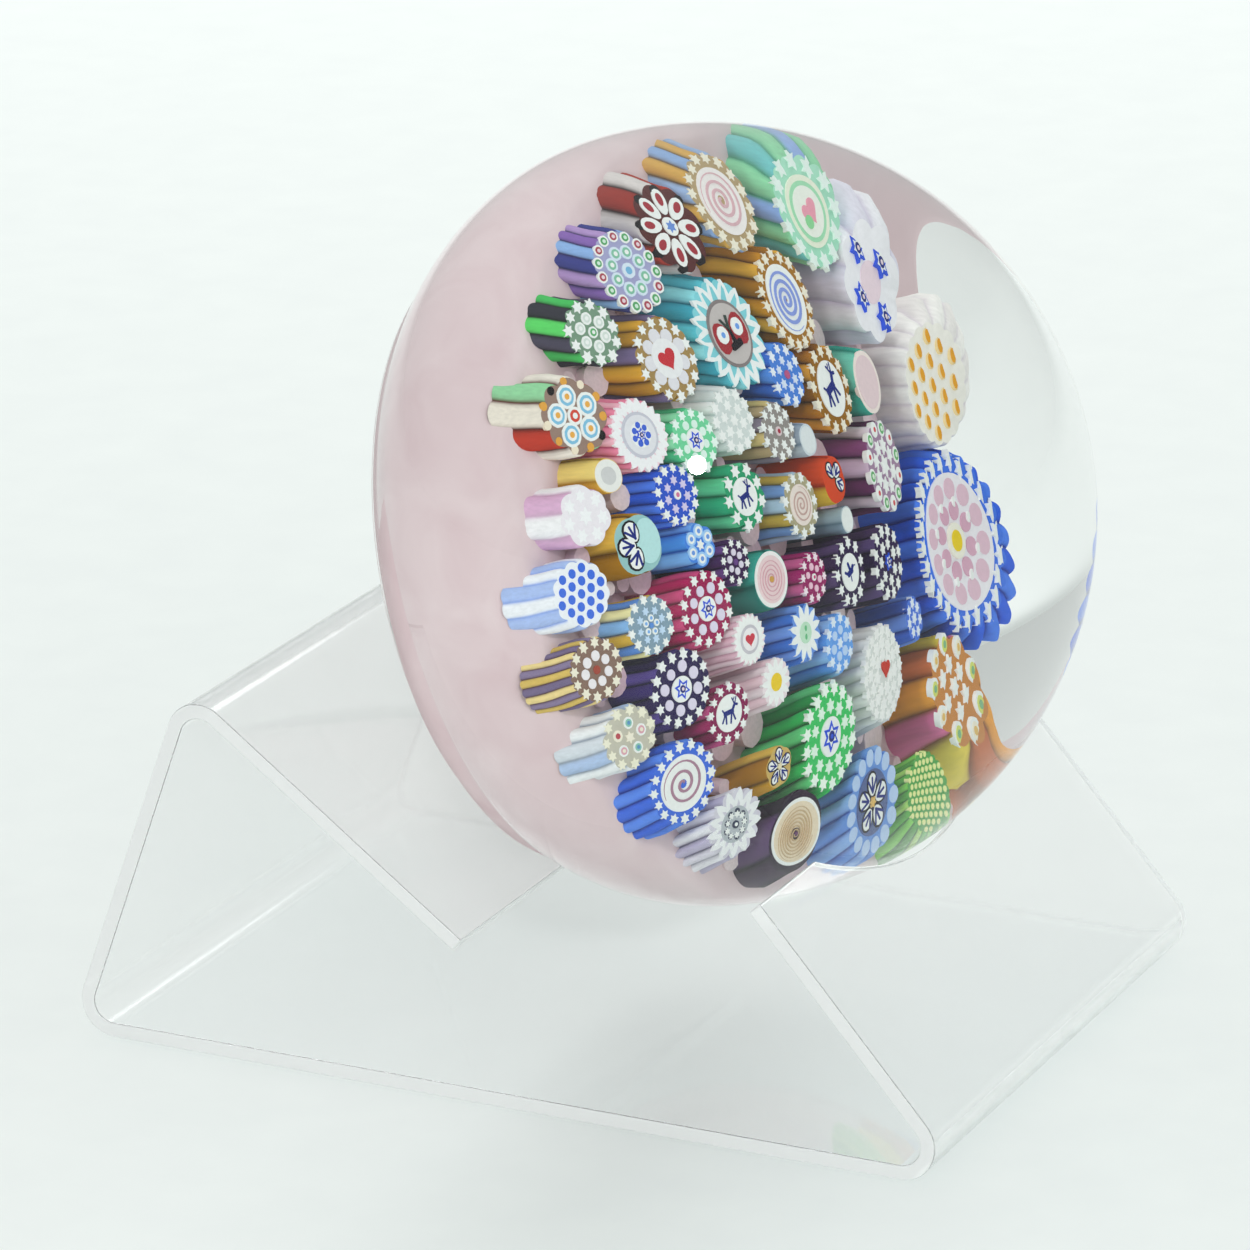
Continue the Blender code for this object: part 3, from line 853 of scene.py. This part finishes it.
        ("tube", 0.17, [WHITE, WHITE, "6FA4EC"], 0.25, 0.05),
        ("motif", MOTH_BODY, 0.42, INK),
        ("motif", FEELERS, 0.5, "3A4A44"),
    ]),
    "cane_white_stars": (12, 0.14, ["F6F9F8", "E2EAE8"], "BCCAC8", "D8E0DE", [
        *starred_twice(12, 0.2, 6, 0.44, 0.2),
        ("star", 0.2, WHITE),
    ]),
    "cane_green_star": (12, 0.13, ["4CC88A", "92E8B4"], "24845A", "74D8A2", [
        starred(12, 0.19, "F0FFF8"),
        ("ring", "round", 8, 0.5, 0.14, "E4FAF0"),
        ("disc", 0.36, WHITE),
        ("outlined_star", 0.3),
    ]),
    "cane_blue_rose_stars": (14, 0.13, ["2C5EE0", "4C7EF2"], "102678", "3058CC", [
        starred(13, 0.18),
        ("ring", "star", 7, 0.46, 0.18, "DCD2F2"),
        ("tube", 0.16, [WHITE, "D878A0"]),
    ]),
    "cane_six_blue_tubes": (6, 0.2, ["4A96F0", "7CB8FA"], "1C4CA4", "4A88E4", [
        ("tubes", 6, 0.6, 0.32, ["A4D0FC", WHITE, "6F9EE8"]),
        ("star", 0.26, WHITE),
    ]),
    "cane_crimson_star": (14, 0.13, ["B81E5E", "DA4E84"], "54082A", "A01C54", starry(14, 0.32)),
    "cane_pale_heart_daisy": (18, 0.1, ["F2C8D8", "F8E2EA"], "D4A2B8", "F2DAE2", [
        ("daisy", 1.0, 20, 0.78, WHITE),
        ("disc", 0.56, "CCC8D0"),
        ("disc", 0.44, "F6F2F4"),
        ("heart", 0.28, "D23A4C"),
    ]),
    "cane_yellow_centre_daisy": (12, 0.14, ["F0E2E6", "F6D8E0"], "D8BCC6", "F0E2E6", [
        ("daisy", 1.0, 12, 0.6, WHITE),
        ("disc", 0.36, "F4D02A"),
    ]),
    "cane_big_green_star": (16, 0.13, ["2CC45E", "66E088", "1C9A48"], "0A5024", "3CC868", [
        starred(16, 0.15, "F4FFF4", 0.86),
        ("ring", "star", 10, 0.57, 0.14, "E8FCEC"),
        ("disc", 0.36, WHITE),
        ("outlined_star", 0.3, 0.0, 0.0, ROYAL),
    ]),
    "cane_light_blue_stars": (10, 0.13, ["5CA0F0", "92C4FA"], "2860BC", "6AA6F0", [
        starred(10, 0.2, "E4F0FE", 0.8),
        ("ring", "round", 6, 0.42, 0.17, "C0DAFC"),
        ("star", 0.2, "E4F0FE"),
    ]),
    "cane_white_heart": (18, 0.1, ["F2F4F2", "E2E5E2"], "C4C9C6", "E0E3E0", [
        starred(18, 0.15, "F8F8F6", 0.86),
        ("ring", "star", 12, 0.6, 0.17, "F8F8F6"),
        ("ring", "star", 7, 0.34, 0.17, "F8F8F6"),
        ("heart", 0.2, "CE3C2E", 0.14, 0.06),
    ]),
    "cane_plum_blue_star": (12, 0.12, ["4A3562", "604C82", "2F2048"], "120820", "362650", [
        *starred_twice(12, 0.18, 7, 0.46, 0.17),
        ("outlined_star", 0.24),
    ]),
    "cane_mauve_green_tubes": (12, 0.13, ["8C4A80", "D4BCD4", "6A3062", "F2E6F2"], "341434", "A88AA6", [
        ("tubes", 12, 0.83, 0.18, [WHITE, "6FB478", "E0F0DC"], [WHITE, WHITE, "D85A60"]),
        ("ring", "star", 8, 0.46, 0.2, WHITE),
        ("star", 0.26, WHITE),
    ]),
    "cane_orange_pansy": (4, 0.06, ["E4441E", "E85026", "E8C040"], "A02C10", "DC4A26", [
        *pansy(3, 0.45, 0.76, 0.56, -70, 150),
    ]),
    "cane_grey_blue_tube": (4, 0.05, ["C8D4DE", "A8B8C8"], "7A8EA2", "D4DEE4", [("disc", 0.8, "E4EAEC")]),
    "cane_grey_red_star": (11, 0.12, ["BCA47C", "8C8292", "DCC484"], "4E4034", "96908C", [
        *starred_twice(11, 0.19, 6, 0.46, 0.18),
        ("tube", 0.16, ["E4D0D4", "A83044"]),
    ]),
    "cane_green_stag": (9, 0.14, ["2CB07E", "62D49C"], "0C6244", "2A9E6E", [
        starred(9, 0.22, WHITE, 0.8),
        *stag_disc(0.56),
    ]),
    "cane_small_plum_stars": (10, 0.12, ["4A2A5E", "6C468A"], "1A0C26", "3E2450", [
        starred(10, 0.2, WHITE, 0.8),
        ("ring", "round", 6, 0.4, 0.16, "E4DCEC"),
        ("dot", 0.14, "6A4488"),
    ]),
    "cane_teal_rings": (4, 0.03, ["2F9A8E", "3CAE9E", "1F7A70"], "125A52", "2F9A8E", [
        ("disc", 0.92, "F6F4F2"),
        ("disc", 0.78, "F0D6D8"),
        ("spiral", 0.72, 5.0, 0.028, "DCA8B4"),
        ("disc", 0.1, "D4A452"),
    ]),
    "cane_blue_green_daisy": (12, 0.13, ["3C78DA", "72A0F2"], "183C90", "6A98E6", [
        ("daisy", 0.99, 12, 0.58, "F4F8F6"),
        ("disc", 0.36, "C4E8CC"),
        ("petals", 2, 0.14, 0.2, 0.12, "6FC08A"),
    ]),
    "cane_magenta_stars": (10, 0.13, ["B02A72", "DA649C"], "520E34", "9A2464", [
        starred(10, 0.19, "FBEAF2", 0.8),
        ("ring", "round", 6, 0.42, 0.14, "F4C8DC"),
        ("tube", 0.14, [WHITE, "D04880"]),
    ]),
    "cane_plum_figure": (11, 0.12, ["3F2A52", "5C4676"], "120A1E", "33224A", [
        starred(11, 0.19, WHITE, 0.82),
        ("disc", 0.54, WHITE),
        ("motif", BIRD, 0.4, NAVY),
    ]),
    "cane_grey_blue_chip": (4, 0.05, ["8FAABC", "A8C2CE"], "64808F", "C4D0D6", [("disc", 0.84, "EEF2F0")]),
    "cane_beige_spiral": (12, 0.12, ["CCAE4E", "7AA0DA", "B8D2EA"], "4E5040", "B0A888", [
        starred(11, 0.18, WHITE),
        ("disc", 0.62, "F0E2DA"),
        ("spiral", 0.55, 3.2, 0.05, "C8A8A0"),
    ]),
}


# ---- pieces -----------------------------------------------------------------------------------


def flared(x, y, px, py, radius, share):
    """Moves a point of a cane's side outwards where an outer cane spreads at its foot."""
    ring = math.hypot(x, y)
    outer = smooth_step(ring + radius, OUTER_START, OUTER_END)
    reach = smooth_step(math.hypot(px, py) - ring, 0.0, radius)
    splay = splay_share(x, y)
    lying = min(1.0, share / FLARE_DONE) ** 0.8 - FLARE_RETURN * smooth_step(share, FLARE_HELD, 1.0)
    push = outer * reach * (SPLAY_FOOT * lying * splay + FOOT_SPREAD * share * (1 - splay))
    scale = 1 + push / math.hypot(px, py)
    return px * scale, py * scale


def cane_body(shell, x, y, radius, lobes, depth, sides, seam, base):
    """The ribbed side of a cane and its plain cut end. Each lobe is one outer rod of the bundle."""
    count = lobes * LOBE_STEPS
    sides = [linear(code) for code in sides]
    seam, base = linear(seam), linear(base)
    lean, phase = random.uniform(-CANE_LEAN, CANE_LEAN), random.uniform(0, 2 * math.pi)
    bulges = [math.sin(math.pi * (step % LOBE_STEPS) / LOBE_STEPS) for step in range(count)]
    rings, shades = [], []
    for step, bulge in enumerate(bulges):
        colour = sides[(step // LOBE_STEPS) % len(sides)]
        shades.append(mixed(seam, colour, min(1.0, 1.9 * bulge) ** 0.7))
    for share in LEVELS:
        ring = []
        rounding = CUT_ROUNDING if share == 0.0 else 1.0
        for step, bulge in enumerate(bulges):
            angle = 2 * math.pi * step / count + lean * share + CANE_WAVE * math.sin(5 * share + phase)
            swell = 1 + CANE_SWELL * math.sin(3.2 * share + 2 * angle + phase) * min(1.0, 3 * share)
            reach = radius * rounding * swell * (1 - depth + depth * bulge)
            across, up = polar(reach, angle)
            foot = setting_point(x + across, y + up, share)
            foot.xy = flared(x, y, foot.x, foot.y, radius, share)
            ring.append(foot)
        rings.append([len(shell.points) + step for step in range(count)])
        shell.points += [TO_SETTING @ point for point in ring]
    for upper, lower in zip(rings, rings[1:]):
        for step in range(count):
            after = (step + 1) % count
            corner = [shades[step], shades[step], shades[after], shades[after]]
            shell.add([upper[step], lower[step], lower[after], upper[after]], corner, 0)
    middles = [setting_point(x, y, 0.0), setting_point(x, y, LEVELS[-1])]
    for ring, middle in zip((rings[0], rings[-1]), middles):
        centre = len(shell.points)
        shell.points.append(TO_SETTING @ middle)
        for step in range(count):
            shell.add([ring[step], ring[(step + 1) % count], centre], base)


def close_packed(places):
    """Lets each cane swell, by a tenth at most, into the room that its neighbours leave."""
    grown = []
    for index, (x, y, radius) in enumerate(places):
        others = places[:index] + places[index + 1 :]
        room = min(math.hypot(x - ox, y - oy) - radius - away for ox, oy, away in others)
        grown.append((x, y, radius * min(MOST_GROWTH, 1 + max(0.0, room - LEAST_ROOM) / (2 * radius))))
    return grown


def build_canes(*materials):
    """One ribbed cane for each CAD cane. Returns their places, and the rods set in their faces."""
    rods = {"star": [], "round": []}
    places = close_packed([cane_place(node) for node in RECIPES])
    for (node, makings), (x, y, radius) in zip(RECIPES.items(), places):
        lobes, depth, sides, seam, base, recipe = makings
        shell = Shell()
        cane_body(shell, x, y, radius, lobes, depth, sides, seam, base)
        face = Face(shell, rods, x, y, radius, random.uniform(-0.25, 0.25))
        face.draw(recipe)
        cane = piece_from(shell, node.removeprefix("cane_") + "_cane", *materials)
        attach(cane, "weight")
        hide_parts(node)
    return places, rods


def rod_tree(name):
    """Geometry Nodes: one upright rod, star-shaped or round, set at every point it is given."""
    tree = bpy.data.node_groups.new(name, "GeometryNodeTree")
    wanted = [
        ("Places", "NodeSocketGeometry"),
        ("Points", "NodeSocketInt"),
        ("Inner Share", "NodeSocketFloat"),
        ("Glass", "NodeSocketMaterial"),
    ]
    for label, kind in wanted:
        tree.interface.new_socket(label, in_out="INPUT", socket_type=kind)
    tree.interface.new_socket("Rods", in_out="OUTPUT", socket_type="NodeSocketGeometry")
    given = add_node(tree, "NodeGroupInput")
    shape = {
        "Points": given.outputs["Points"],
        "Inner Radius": given.outputs["Inner Share"],
        "Outer Radius": 1.0,
    }
    outline = add_node(tree, "GeometryNodeCurveStar", links=shape)
    filled = {"Curve": outline.outputs["Curve"]}
    top = add_node(tree, "GeometryNodeFillCurve", {"mode": "NGONS"}, filled)
    sunk = {"Mesh": top.outputs["Mesh"], "Offset Scale": -1.0, "Individual": False}
    walls = add_node(tree, "GeometryNodeExtrudeMesh", {"mode": "FACES"}, sunk)
    rod = add_node(tree, "GeometryNodeJoinGeometry")
    tree.links.new(top.outputs["Mesh"], rod.inputs[0])
    tree.links.new(walls.outputs["Mesh"], rod.inputs[0])
    turn, stretch = (
        add_node(tree, "GeometryNodeInputNamedAttribute", {"data_type": "FLOAT_VECTOR"}, {"Name": label})
        for label in ("turn", "stretch")
    )
    places = {
        "Points": given.outputs["Places"],
        "Instance": rod.outputs[0],
        "Rotation": turn.outputs["Attribute"],
        "Scale": stretch.outputs["Attribute"],
    }
    placed = add_node(tree, "GeometryNodeInstanceOnPoints", links=places)
    real = add_node(tree, "GeometryNodeRealizeInstances", links={"Geometry": placed.outputs[0]})
    glazing = {"Geometry": real.outputs[0], "Material": given.outputs["Glass"]}
    glazed = add_node(tree, "GeometryNodeSetMaterial", links=glazing)
    add_node(tree, "NodeGroupOutput", links={"Rods": glazed.outputs[0]})
    return tree


def setting_turn(x, y, spin):
    """Euler turn of a rod that stands square to the dome of faces at this place."""
    curve = (CANE_TOP_CENTRE - CANE_TOP_RIM) / RIM_RADIUS**2
    normal = TO_SETTING.to_3x3() @ Vector((2 * curve * x, 2 * curve * y, 1.0)).normalized()
    upright = normal.to_track_quat("Z", "Y").to_matrix()
    return (upright @ Matrix.Rotation(spin, 3, "Z")).to_euler()


def build_rods(name, tree, places, points, inner, depth, material):
    """Sets rods of (x, y, lift, size, spin, colour) in the faces, as one mesh."""
    seeds = bpy.data.meshes.new(name + "_places")
    seeds.from_pydata([on_face(x, y, lift) for x, y, lift, *rest in places], [], [])
    wanted = [("turn", "FLOAT_VECTOR"), ("stretch", "FLOAT_VECTOR"), ("tint", "FLOAT_COLOR")]
    for label, kind in wanted:
        seeds.attributes.new(label, kind, "POINT")
    turn, stretch, tint = (seeds.attributes[label] for label, kind in wanted)
    for index, (x, y, lift, size, spin, colour) in enumerate(places):
        turn.data[index].vector = setting_turn(x, y, spin)
        stretch.data[index].vector = (size, size, depth)
        tint.data[index].color = colour
    holder = new_object(name + "_places", seeds)
    modifier = holder.modifiers.new("rods", "NODES")
    modifier.node_group = tree
    given = {"Points": points, "Inner Share": inner, "Glass": material}
    for item in tree.interface.items_tree:
        if item.item_type == "SOCKET" and item.in_out == "INPUT" and item.name in given:
            modifier[item.identifier] = given[item.name]
    graph = bpy.context.evaluated_depsgraph_get()
    mesh = bpy.data.meshes.new_from_object(holder.evaluated_get(graph), depsgraph=graph)
    mesh.name = name
    bpy.data.objects.remove(holder)
    piece = finish_mesh(name, mesh, material)
    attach(piece, "weight")


def filler_places(canes):
    """Places between the canes where a short length of plain pink glass fits, largest gaps first."""
    span = int(FILLER_REACH / FILLER_SPACING)
    found = []
    for row in range(-span, span + 1):
        for column in range(-span, span + 1):
            x = column * FILLER_SPACING + random.uniform(-FILLER_STRAY, FILLER_STRAY)
            y = row * FILLER_SPACING + random.uniform(-FILLER_STRAY, FILLER_STRAY)
            room = min(math.hypot(x - cx, y - cy) - radius for cx, cy, radius in canes)
            if math.hypot(x, y) < FILLER_REACH and room > FILLER_LEAST:
                found.append((min(room, FILLER_MOST), x, y))
    found.sort(reverse=True)
    kept = []
    for room, x, y in found:
        if all(math.hypot(x - kx, y - ky) > FILLER_PACKING * (room + size) for size, kx, ky in kept):
            kept.append((room, x, y))
    chips = []
    for room, x, y in kept:
        sunk = -random.uniform(*FILLER_SUNK)
        spin, code = random.uniform(0, 3), random.choice(FILLER_PINKS)
        chips.append((x, y, sunk, room, spin, linear(code)))
    return chips


def build_ground(material):
    """The pink ground: a cloudy dome under the feet, swelling between them, with a rounded skirt."""
    profile = [(0.0, GROUND_TOP_CENTRE)]
    for step in range(1, GROUND_RINGS + 1):
        radius = RIM_RADIUS * 1.02 * step / GROUND_RINGS
        lap = GROUND_LAP * smooth_step(radius, 17 * MM, 25 * MM)
        profile.append((radius, dome_height(radius, GROUND_TOP_CENTRE, GROUND_TOP_RIM) + lap))
    skirt = [Vector((radius * MM, height * MM)) for radius, height in GROUND_SKIRT]
    ends = [Vector(profile[-1]), *skirt, Vector((24 * MM, GROUND_FLOOR))]
    for before, start, end, after in zip(ends, ends[1:], ends[2:], ends[3:]):
        for part in range(SKIRT_PARTS):
            t = part / SKIRT_PARTS
            point = 0.5 * (
                2 * start
                + (end - before) * t
                + (2 * before - 5 * start + 4 * end - after) * t * t
                + (3 * start - before - 3 * end + after) * t * t * t
            )
            profile.append((point.x, point.y))
    profile += [tuple(skirt[-1]), (27.6 * MM, GROUND_FLOOR), (13 * MM, GROUND_FLOOR), (0.0, GROUND_FLOOR)]
    points, faces = turned(profile, GROUND_SIDES)
    painted_gap_shades = []
    for point in points:
        radius = math.hypot(point.x, point.y)
        top = point.z > -6.0 * MM
        swell = noise.noise(point / SWELL_WIDE) * 0.7 + noise.noise(point / SWELL_FINE) * 0.3
        height = SWELL_TOP if top and radius < RIM_RADIUS else SWELL_SKIRT
        splay = splay_share(point.x, point.y)
        if point.z > -9.0 * MM:
            ledge = SHELF_RADIUS + SHELF_WIDENING * smooth_step(point.y, -3 * MM, 5 * MM)
            shelf = SHELF_HEIGHT - SHELF_FALL * max(0.0, radius - ledge)
            point.z += max(0.0, shelf - point.z) * splay * smooth_step(radius, 25 * MM, 28 * MM)
        point.xy *= 1 - SKIRT_DRAWN_IN * splay * smooth_step(-point.z, 4.5 * MM, 8.0 * MM)
        if top:
            point.z += swell * height
        # Painted shade: the top is marked darker inside the canes' ring, for the shade that falls between them
        inside = max(0.0, min(1.0, (PAINTED_SHADE_RADIUS - radius) / PAINTED_SHADE_FADE))
        painted_gap_shades.append(inside * (PAINTED_SHADE_STRENGTH if top else 0.0))
    mesh = bpy.data.meshes.new("opaque_pink_ground")
    mesh.from_pydata([TO_SETTING @ point for point in points], [], faces)
    painted_gap_shade = mesh.attributes.new("painted_gap_shade", "FLOAT", "POINT")
    painted_gap_shade.data.foreach_set("value", painted_gap_shades)
    ground = finish_mesh("opaque_pink_ground", mesh, material, smooth_angle=60)
    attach(ground, "weight")
    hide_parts("pink_ground")


def underside_radius(depth):
    return WIDEST_RADIUS * (1 - (depth / UNDERSIDE_HEIGHT) ** UNDERSIDE_POWER) ** (1 / UNDERSIDE_POWER)


def build_clear_body(material):
    """Crown and base as the one solid they are once the glass has been gathered."""
    dome_steps, side_steps, edge_steps = 60, 30, 5
    profile = [(0.0, DOME_HEIGHT)]
    for step in range(1, dome_steps + 1):
        angle = math.pi / 2 * step / dome_steps
        profile.append((WIDEST_RADIUS * math.sin(angle), DOME_HEIGHT * math.cos(angle)))
    straight = BASE_DEPTH - BASE_EDGE
    for step in range(1, side_steps + 1):
        depth = straight * step / side_steps
        profile.append((underside_radius(depth), -depth))
    flat = underside_radius(straight) - BASE_EDGE
    for step in range(1, edge_steps + 1):
        angle = math.pi / 2 * step / edge_steps
        profile.append((flat + BASE_EDGE * math.cos(angle), -straight - BASE_EDGE * math.sin(angle)))
    profile += [(flat * 0.6, -BASE_DEPTH), (0.0, -BASE_DEPTH)]
    points, faces = turned(profile, 180)
    mesh = bpy.data.meshes.new("clear_glass_body")
    mesh.from_pydata([TO_WEIGHT @ point for point in points], [], faces)
    body = finish_mesh("clear_glass_body", mesh, material, smooth_angle=60)
    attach(body, "weight")
    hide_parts("glass_crown", "glass_base")


def stand_corners():
    """Outer corners of the strip's section in the YZ plane, from the lip's top to the flap's end."""
    front = Vector((-FLOOR_LENGTH / 2, 0.0))
    back = Vector((FLOOR_LENGTH / 2, 0.0))
    lip_top = front + LIP_LENGTH * Vector((math.cos(LIP_ANGLE), math.sin(LIP_ANGLE)))
    ridge = back + PANEL_LENGTH * Vector((-math.cos(PANEL_ANGLE), math.sin(PANEL_ANGLE)))
    flap_end = ridge - FLAP_LENGTH * Vector((math.cos(FLAP_ANGLE), math.sin(FLAP_ANGLE)))
    return [lip_top, front, back, ridge, flap_end]


def strip_lines(corners):
    """The strip's outside line with rounded bends, and the inside line one sheet away from it."""
    outer, inner = [], []

    def add(centre, normal, radius):
        outer.append(centre + normal * radius)
        inner.append(centre + normal * (radius - SHEET))

    def outward(start, end):
        run = (end - start).normalized()
        return Vector((run.y, -run.x))

    add(corners[0], outward(corners[0], corners[1]), 0.0)
    for before, corner, after in zip(corners, corners[1:], corners[2:]):
        first, last = outward(before, corner), outward(corner, after)
        turn = first.angle(last)
        middle = (first + last).normalized()
        centre = corner - middle * (BEND_RADIUS / math.cos(turn / 2))
        for step in range(BEND_STEPS + 1):
            add(centre, Matrix.Rotation(turn * step / BEND_STEPS, 2) @ first, BEND_RADIUS)
    add(corners[-1], outward(corners[-2], corners[-1]), 0.0)
    return outer, inner


def build_stand(*materials):
    """One strip of sheet, heat-bent three times, its lip hollowed to hold the glass."""
    corners = stand_corners()
    outer, inner = strip_lines(corners)
    across = [point.x for point in outer + inner]
    shift = Vector((-(min(across) + max(across)) / 2, 0.0))
    up_lip = (corners[0] - corners[1]).normalized()
    front = Vector((corners[1].x + shift.x, corners[1].y))
    reach = (Vector((WEIGHT_CENTRE.y, WEIGHT_CENTRE.z)) - front).dot(up_lip)
    notch = WIDEST_RADIUS + NOTCH_CLEARANCE
    half_notch = math.sqrt(notch**2 - (reach - LIP_LENGTH) ** 2)
    half = STAND_WIDTH / 2
    notch_steps = 40
    stations = [-half + (half - half_notch) * step / 6 for step in range(6)]
    stations += [half_notch * (2 * step / notch_steps - 1) for step in range(notch_steps + 1)]
    stations += [half - (half - half_notch) * step / 6 for step in reversed(range(6))]
    count, rows = len(stations), len(outer)
    points = []
    for line in (outer, inner):
        for row, point in enumerate(line):
            for x in stations:
                place = point + shift
                if row == 0 and abs(x) < half_notch:
                    height = reach - math.sqrt(notch**2 - x**2)
                    place = place + up_lip * (height - LIP_LENGTH)
                points.append((x, place.x, place.y))
    faces = []
    sheet = rows * count
    for row in range(rows - 1):
        for column in range(count - 1):
            a = row * count + column
            quad = [a, a + 1, a + count + 1, a + count]
            faces += [quad, [sheet + corner for corner in reversed(quad)]]
    sheet_faces = len(faces)
    for row in range(rows - 1):
        for column in (0, count - 1):
            a = row * count + column
            faces.append([a, a + count, sheet + a + count, sheet + a])
    for row in (0, rows - 1):
        for column in range(count - 1):
            a = row * count + column
            faces.append([a, a + 1, sheet + a + 1, sheet + a])
    mesh = bpy.data.meshes.new("acrylic_stand")
    mesh.from_pydata(points, [], faces)
    cut_edges = [0] * sheet_faces + [1] * (len(faces) - sheet_faces)
    mesh.polygons.foreach_set("material_index", cut_edges)
    stand = finish_mesh("acrylic_stand", mesh, *materials, smooth_angle=35)
    bevel = stand.modifiers.new("polished_edges", "BEVEL")
    bevel.width, bevel.segments, bevel.limit_method = POLISHED_EDGE, 2, "ANGLE"
    bevel.angle_limit, bevel.harden_normals = math.radians(60), True
    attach(stand, "stand")
    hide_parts("display_stand")


# ---- stage ------------------------------------------------------------------------------------


def build_floor():
    half, steps = 3.0, 12
    mesh = bpy.data.meshes.new("paper_floor")
    work = bmesh.new()
    bmesh.ops.create_grid(work, x_segments=steps, y_segments=steps, size=half)
    bmesh.ops.translate(work, verts=work.verts, vec=(0.0, 0.0, -0.1 * MM))
    work.to_mesh(mesh)
    work.free()
    floor = new_object("paper_floor", mesh)
    mesh.materials.append(backdrop_paper())


def area_light(name, place, aim, size, power):
    """A softbox is too diffused to show in the glass; the flash shows as its one highlight."""
    data = bpy.data.lights.new(name, "AREA")
    data.shape, data.size, data.energy = "DISK", size, power
    light = new_object(name, data)
    light.visible_glossy = name == "flash"
    light.location = place
    light.rotation_mode = "QUATERNION"
    light.rotation_quaternion = (Vector(aim) - Vector(place)).to_track_quat("-Z", "Y")


def build_lights():
    for name, (place, aim, size, power) in SOFTBOXES.items():
        area_light(name, place, aim, size, power)
    world = bpy.data.worlds.new("studio_white")
    bpy.context.scene.world = world
    world.use_nodes = True
    tree = world.node_tree
    tree.nodes.clear()
    way = add_node(tree, "ShaderNodeTexCoord").outputs["Generated"]
    upward = add_node(tree, "ShaderNodeSeparateXYZ", links={"Vector": way}).outputs["Z"]
    sky = between(tree, ramp(tree, upward, -0.1, 0.9, 0.0, 1.0), linear("D4DAD8"), linear("F6FCFA"))
    light = add_node(tree, "ShaderNodeBackground", links={"Color": sky, "Strength": WORLD_STRENGTH})
    add_node(tree, "ShaderNodeOutputWorld", links={"Surface": light.outputs[0]})


def build_camera():
    data = bpy.data.cameras.new("camera")
    data.lens, data.sensor_width = CAMERA_LENS, 36.0
    data.clip_start, data.clip_end = 0.05, 20.0
    camera = new_object("camera", data)
    x, y = polar(math.cos(CAMERA_ELEVATION), CAMERA_AZIMUTH - math.pi / 2)
    back = Vector((x, y, math.sin(CAMERA_ELEVATION)))
    camera.location = CAMERA_TARGET + back * CAMERA_DISTANCE
    camera.rotation_mode = "QUATERNION"
    camera.rotation_quaternion = (-back).to_track_quat("-Z", "Y")
    bpy.context.scene.camera = camera


random.seed(RANDOM_SEED)
bpy.context.scene.view_settings.view_transform = "Standard"
build_camera()
build_lights()
build_floor()
build_stand(cast_acrylic(), flame_polished_edge())
build_clear_body(lead_crystal())
build_ground(pink_ground_glass())
sides_glass = drawn_glass("drawn_cane_glass", *SIDE_STREAKS)
face_glass = drawn_glass("cut_cane_glass", *FACE_STREAKS)
canes, rods = build_canes(sides_glass, face_glass)
tree = rod_tree("rods_on_faces")
build_rods("star_rods", tree, rods["star"], 6, STAR_SHARE, ROD_DEPTH, face_glass)
build_rods("round_rods", tree, rods["round"], 7, ROUND_SHARE, ROD_DEPTH, face_glass)
fillers = filler_places(canes)
build_rods("filler_chips", tree, fillers, 8, ROUND_SHARE, FILLER_DEPTH, sides_glass)
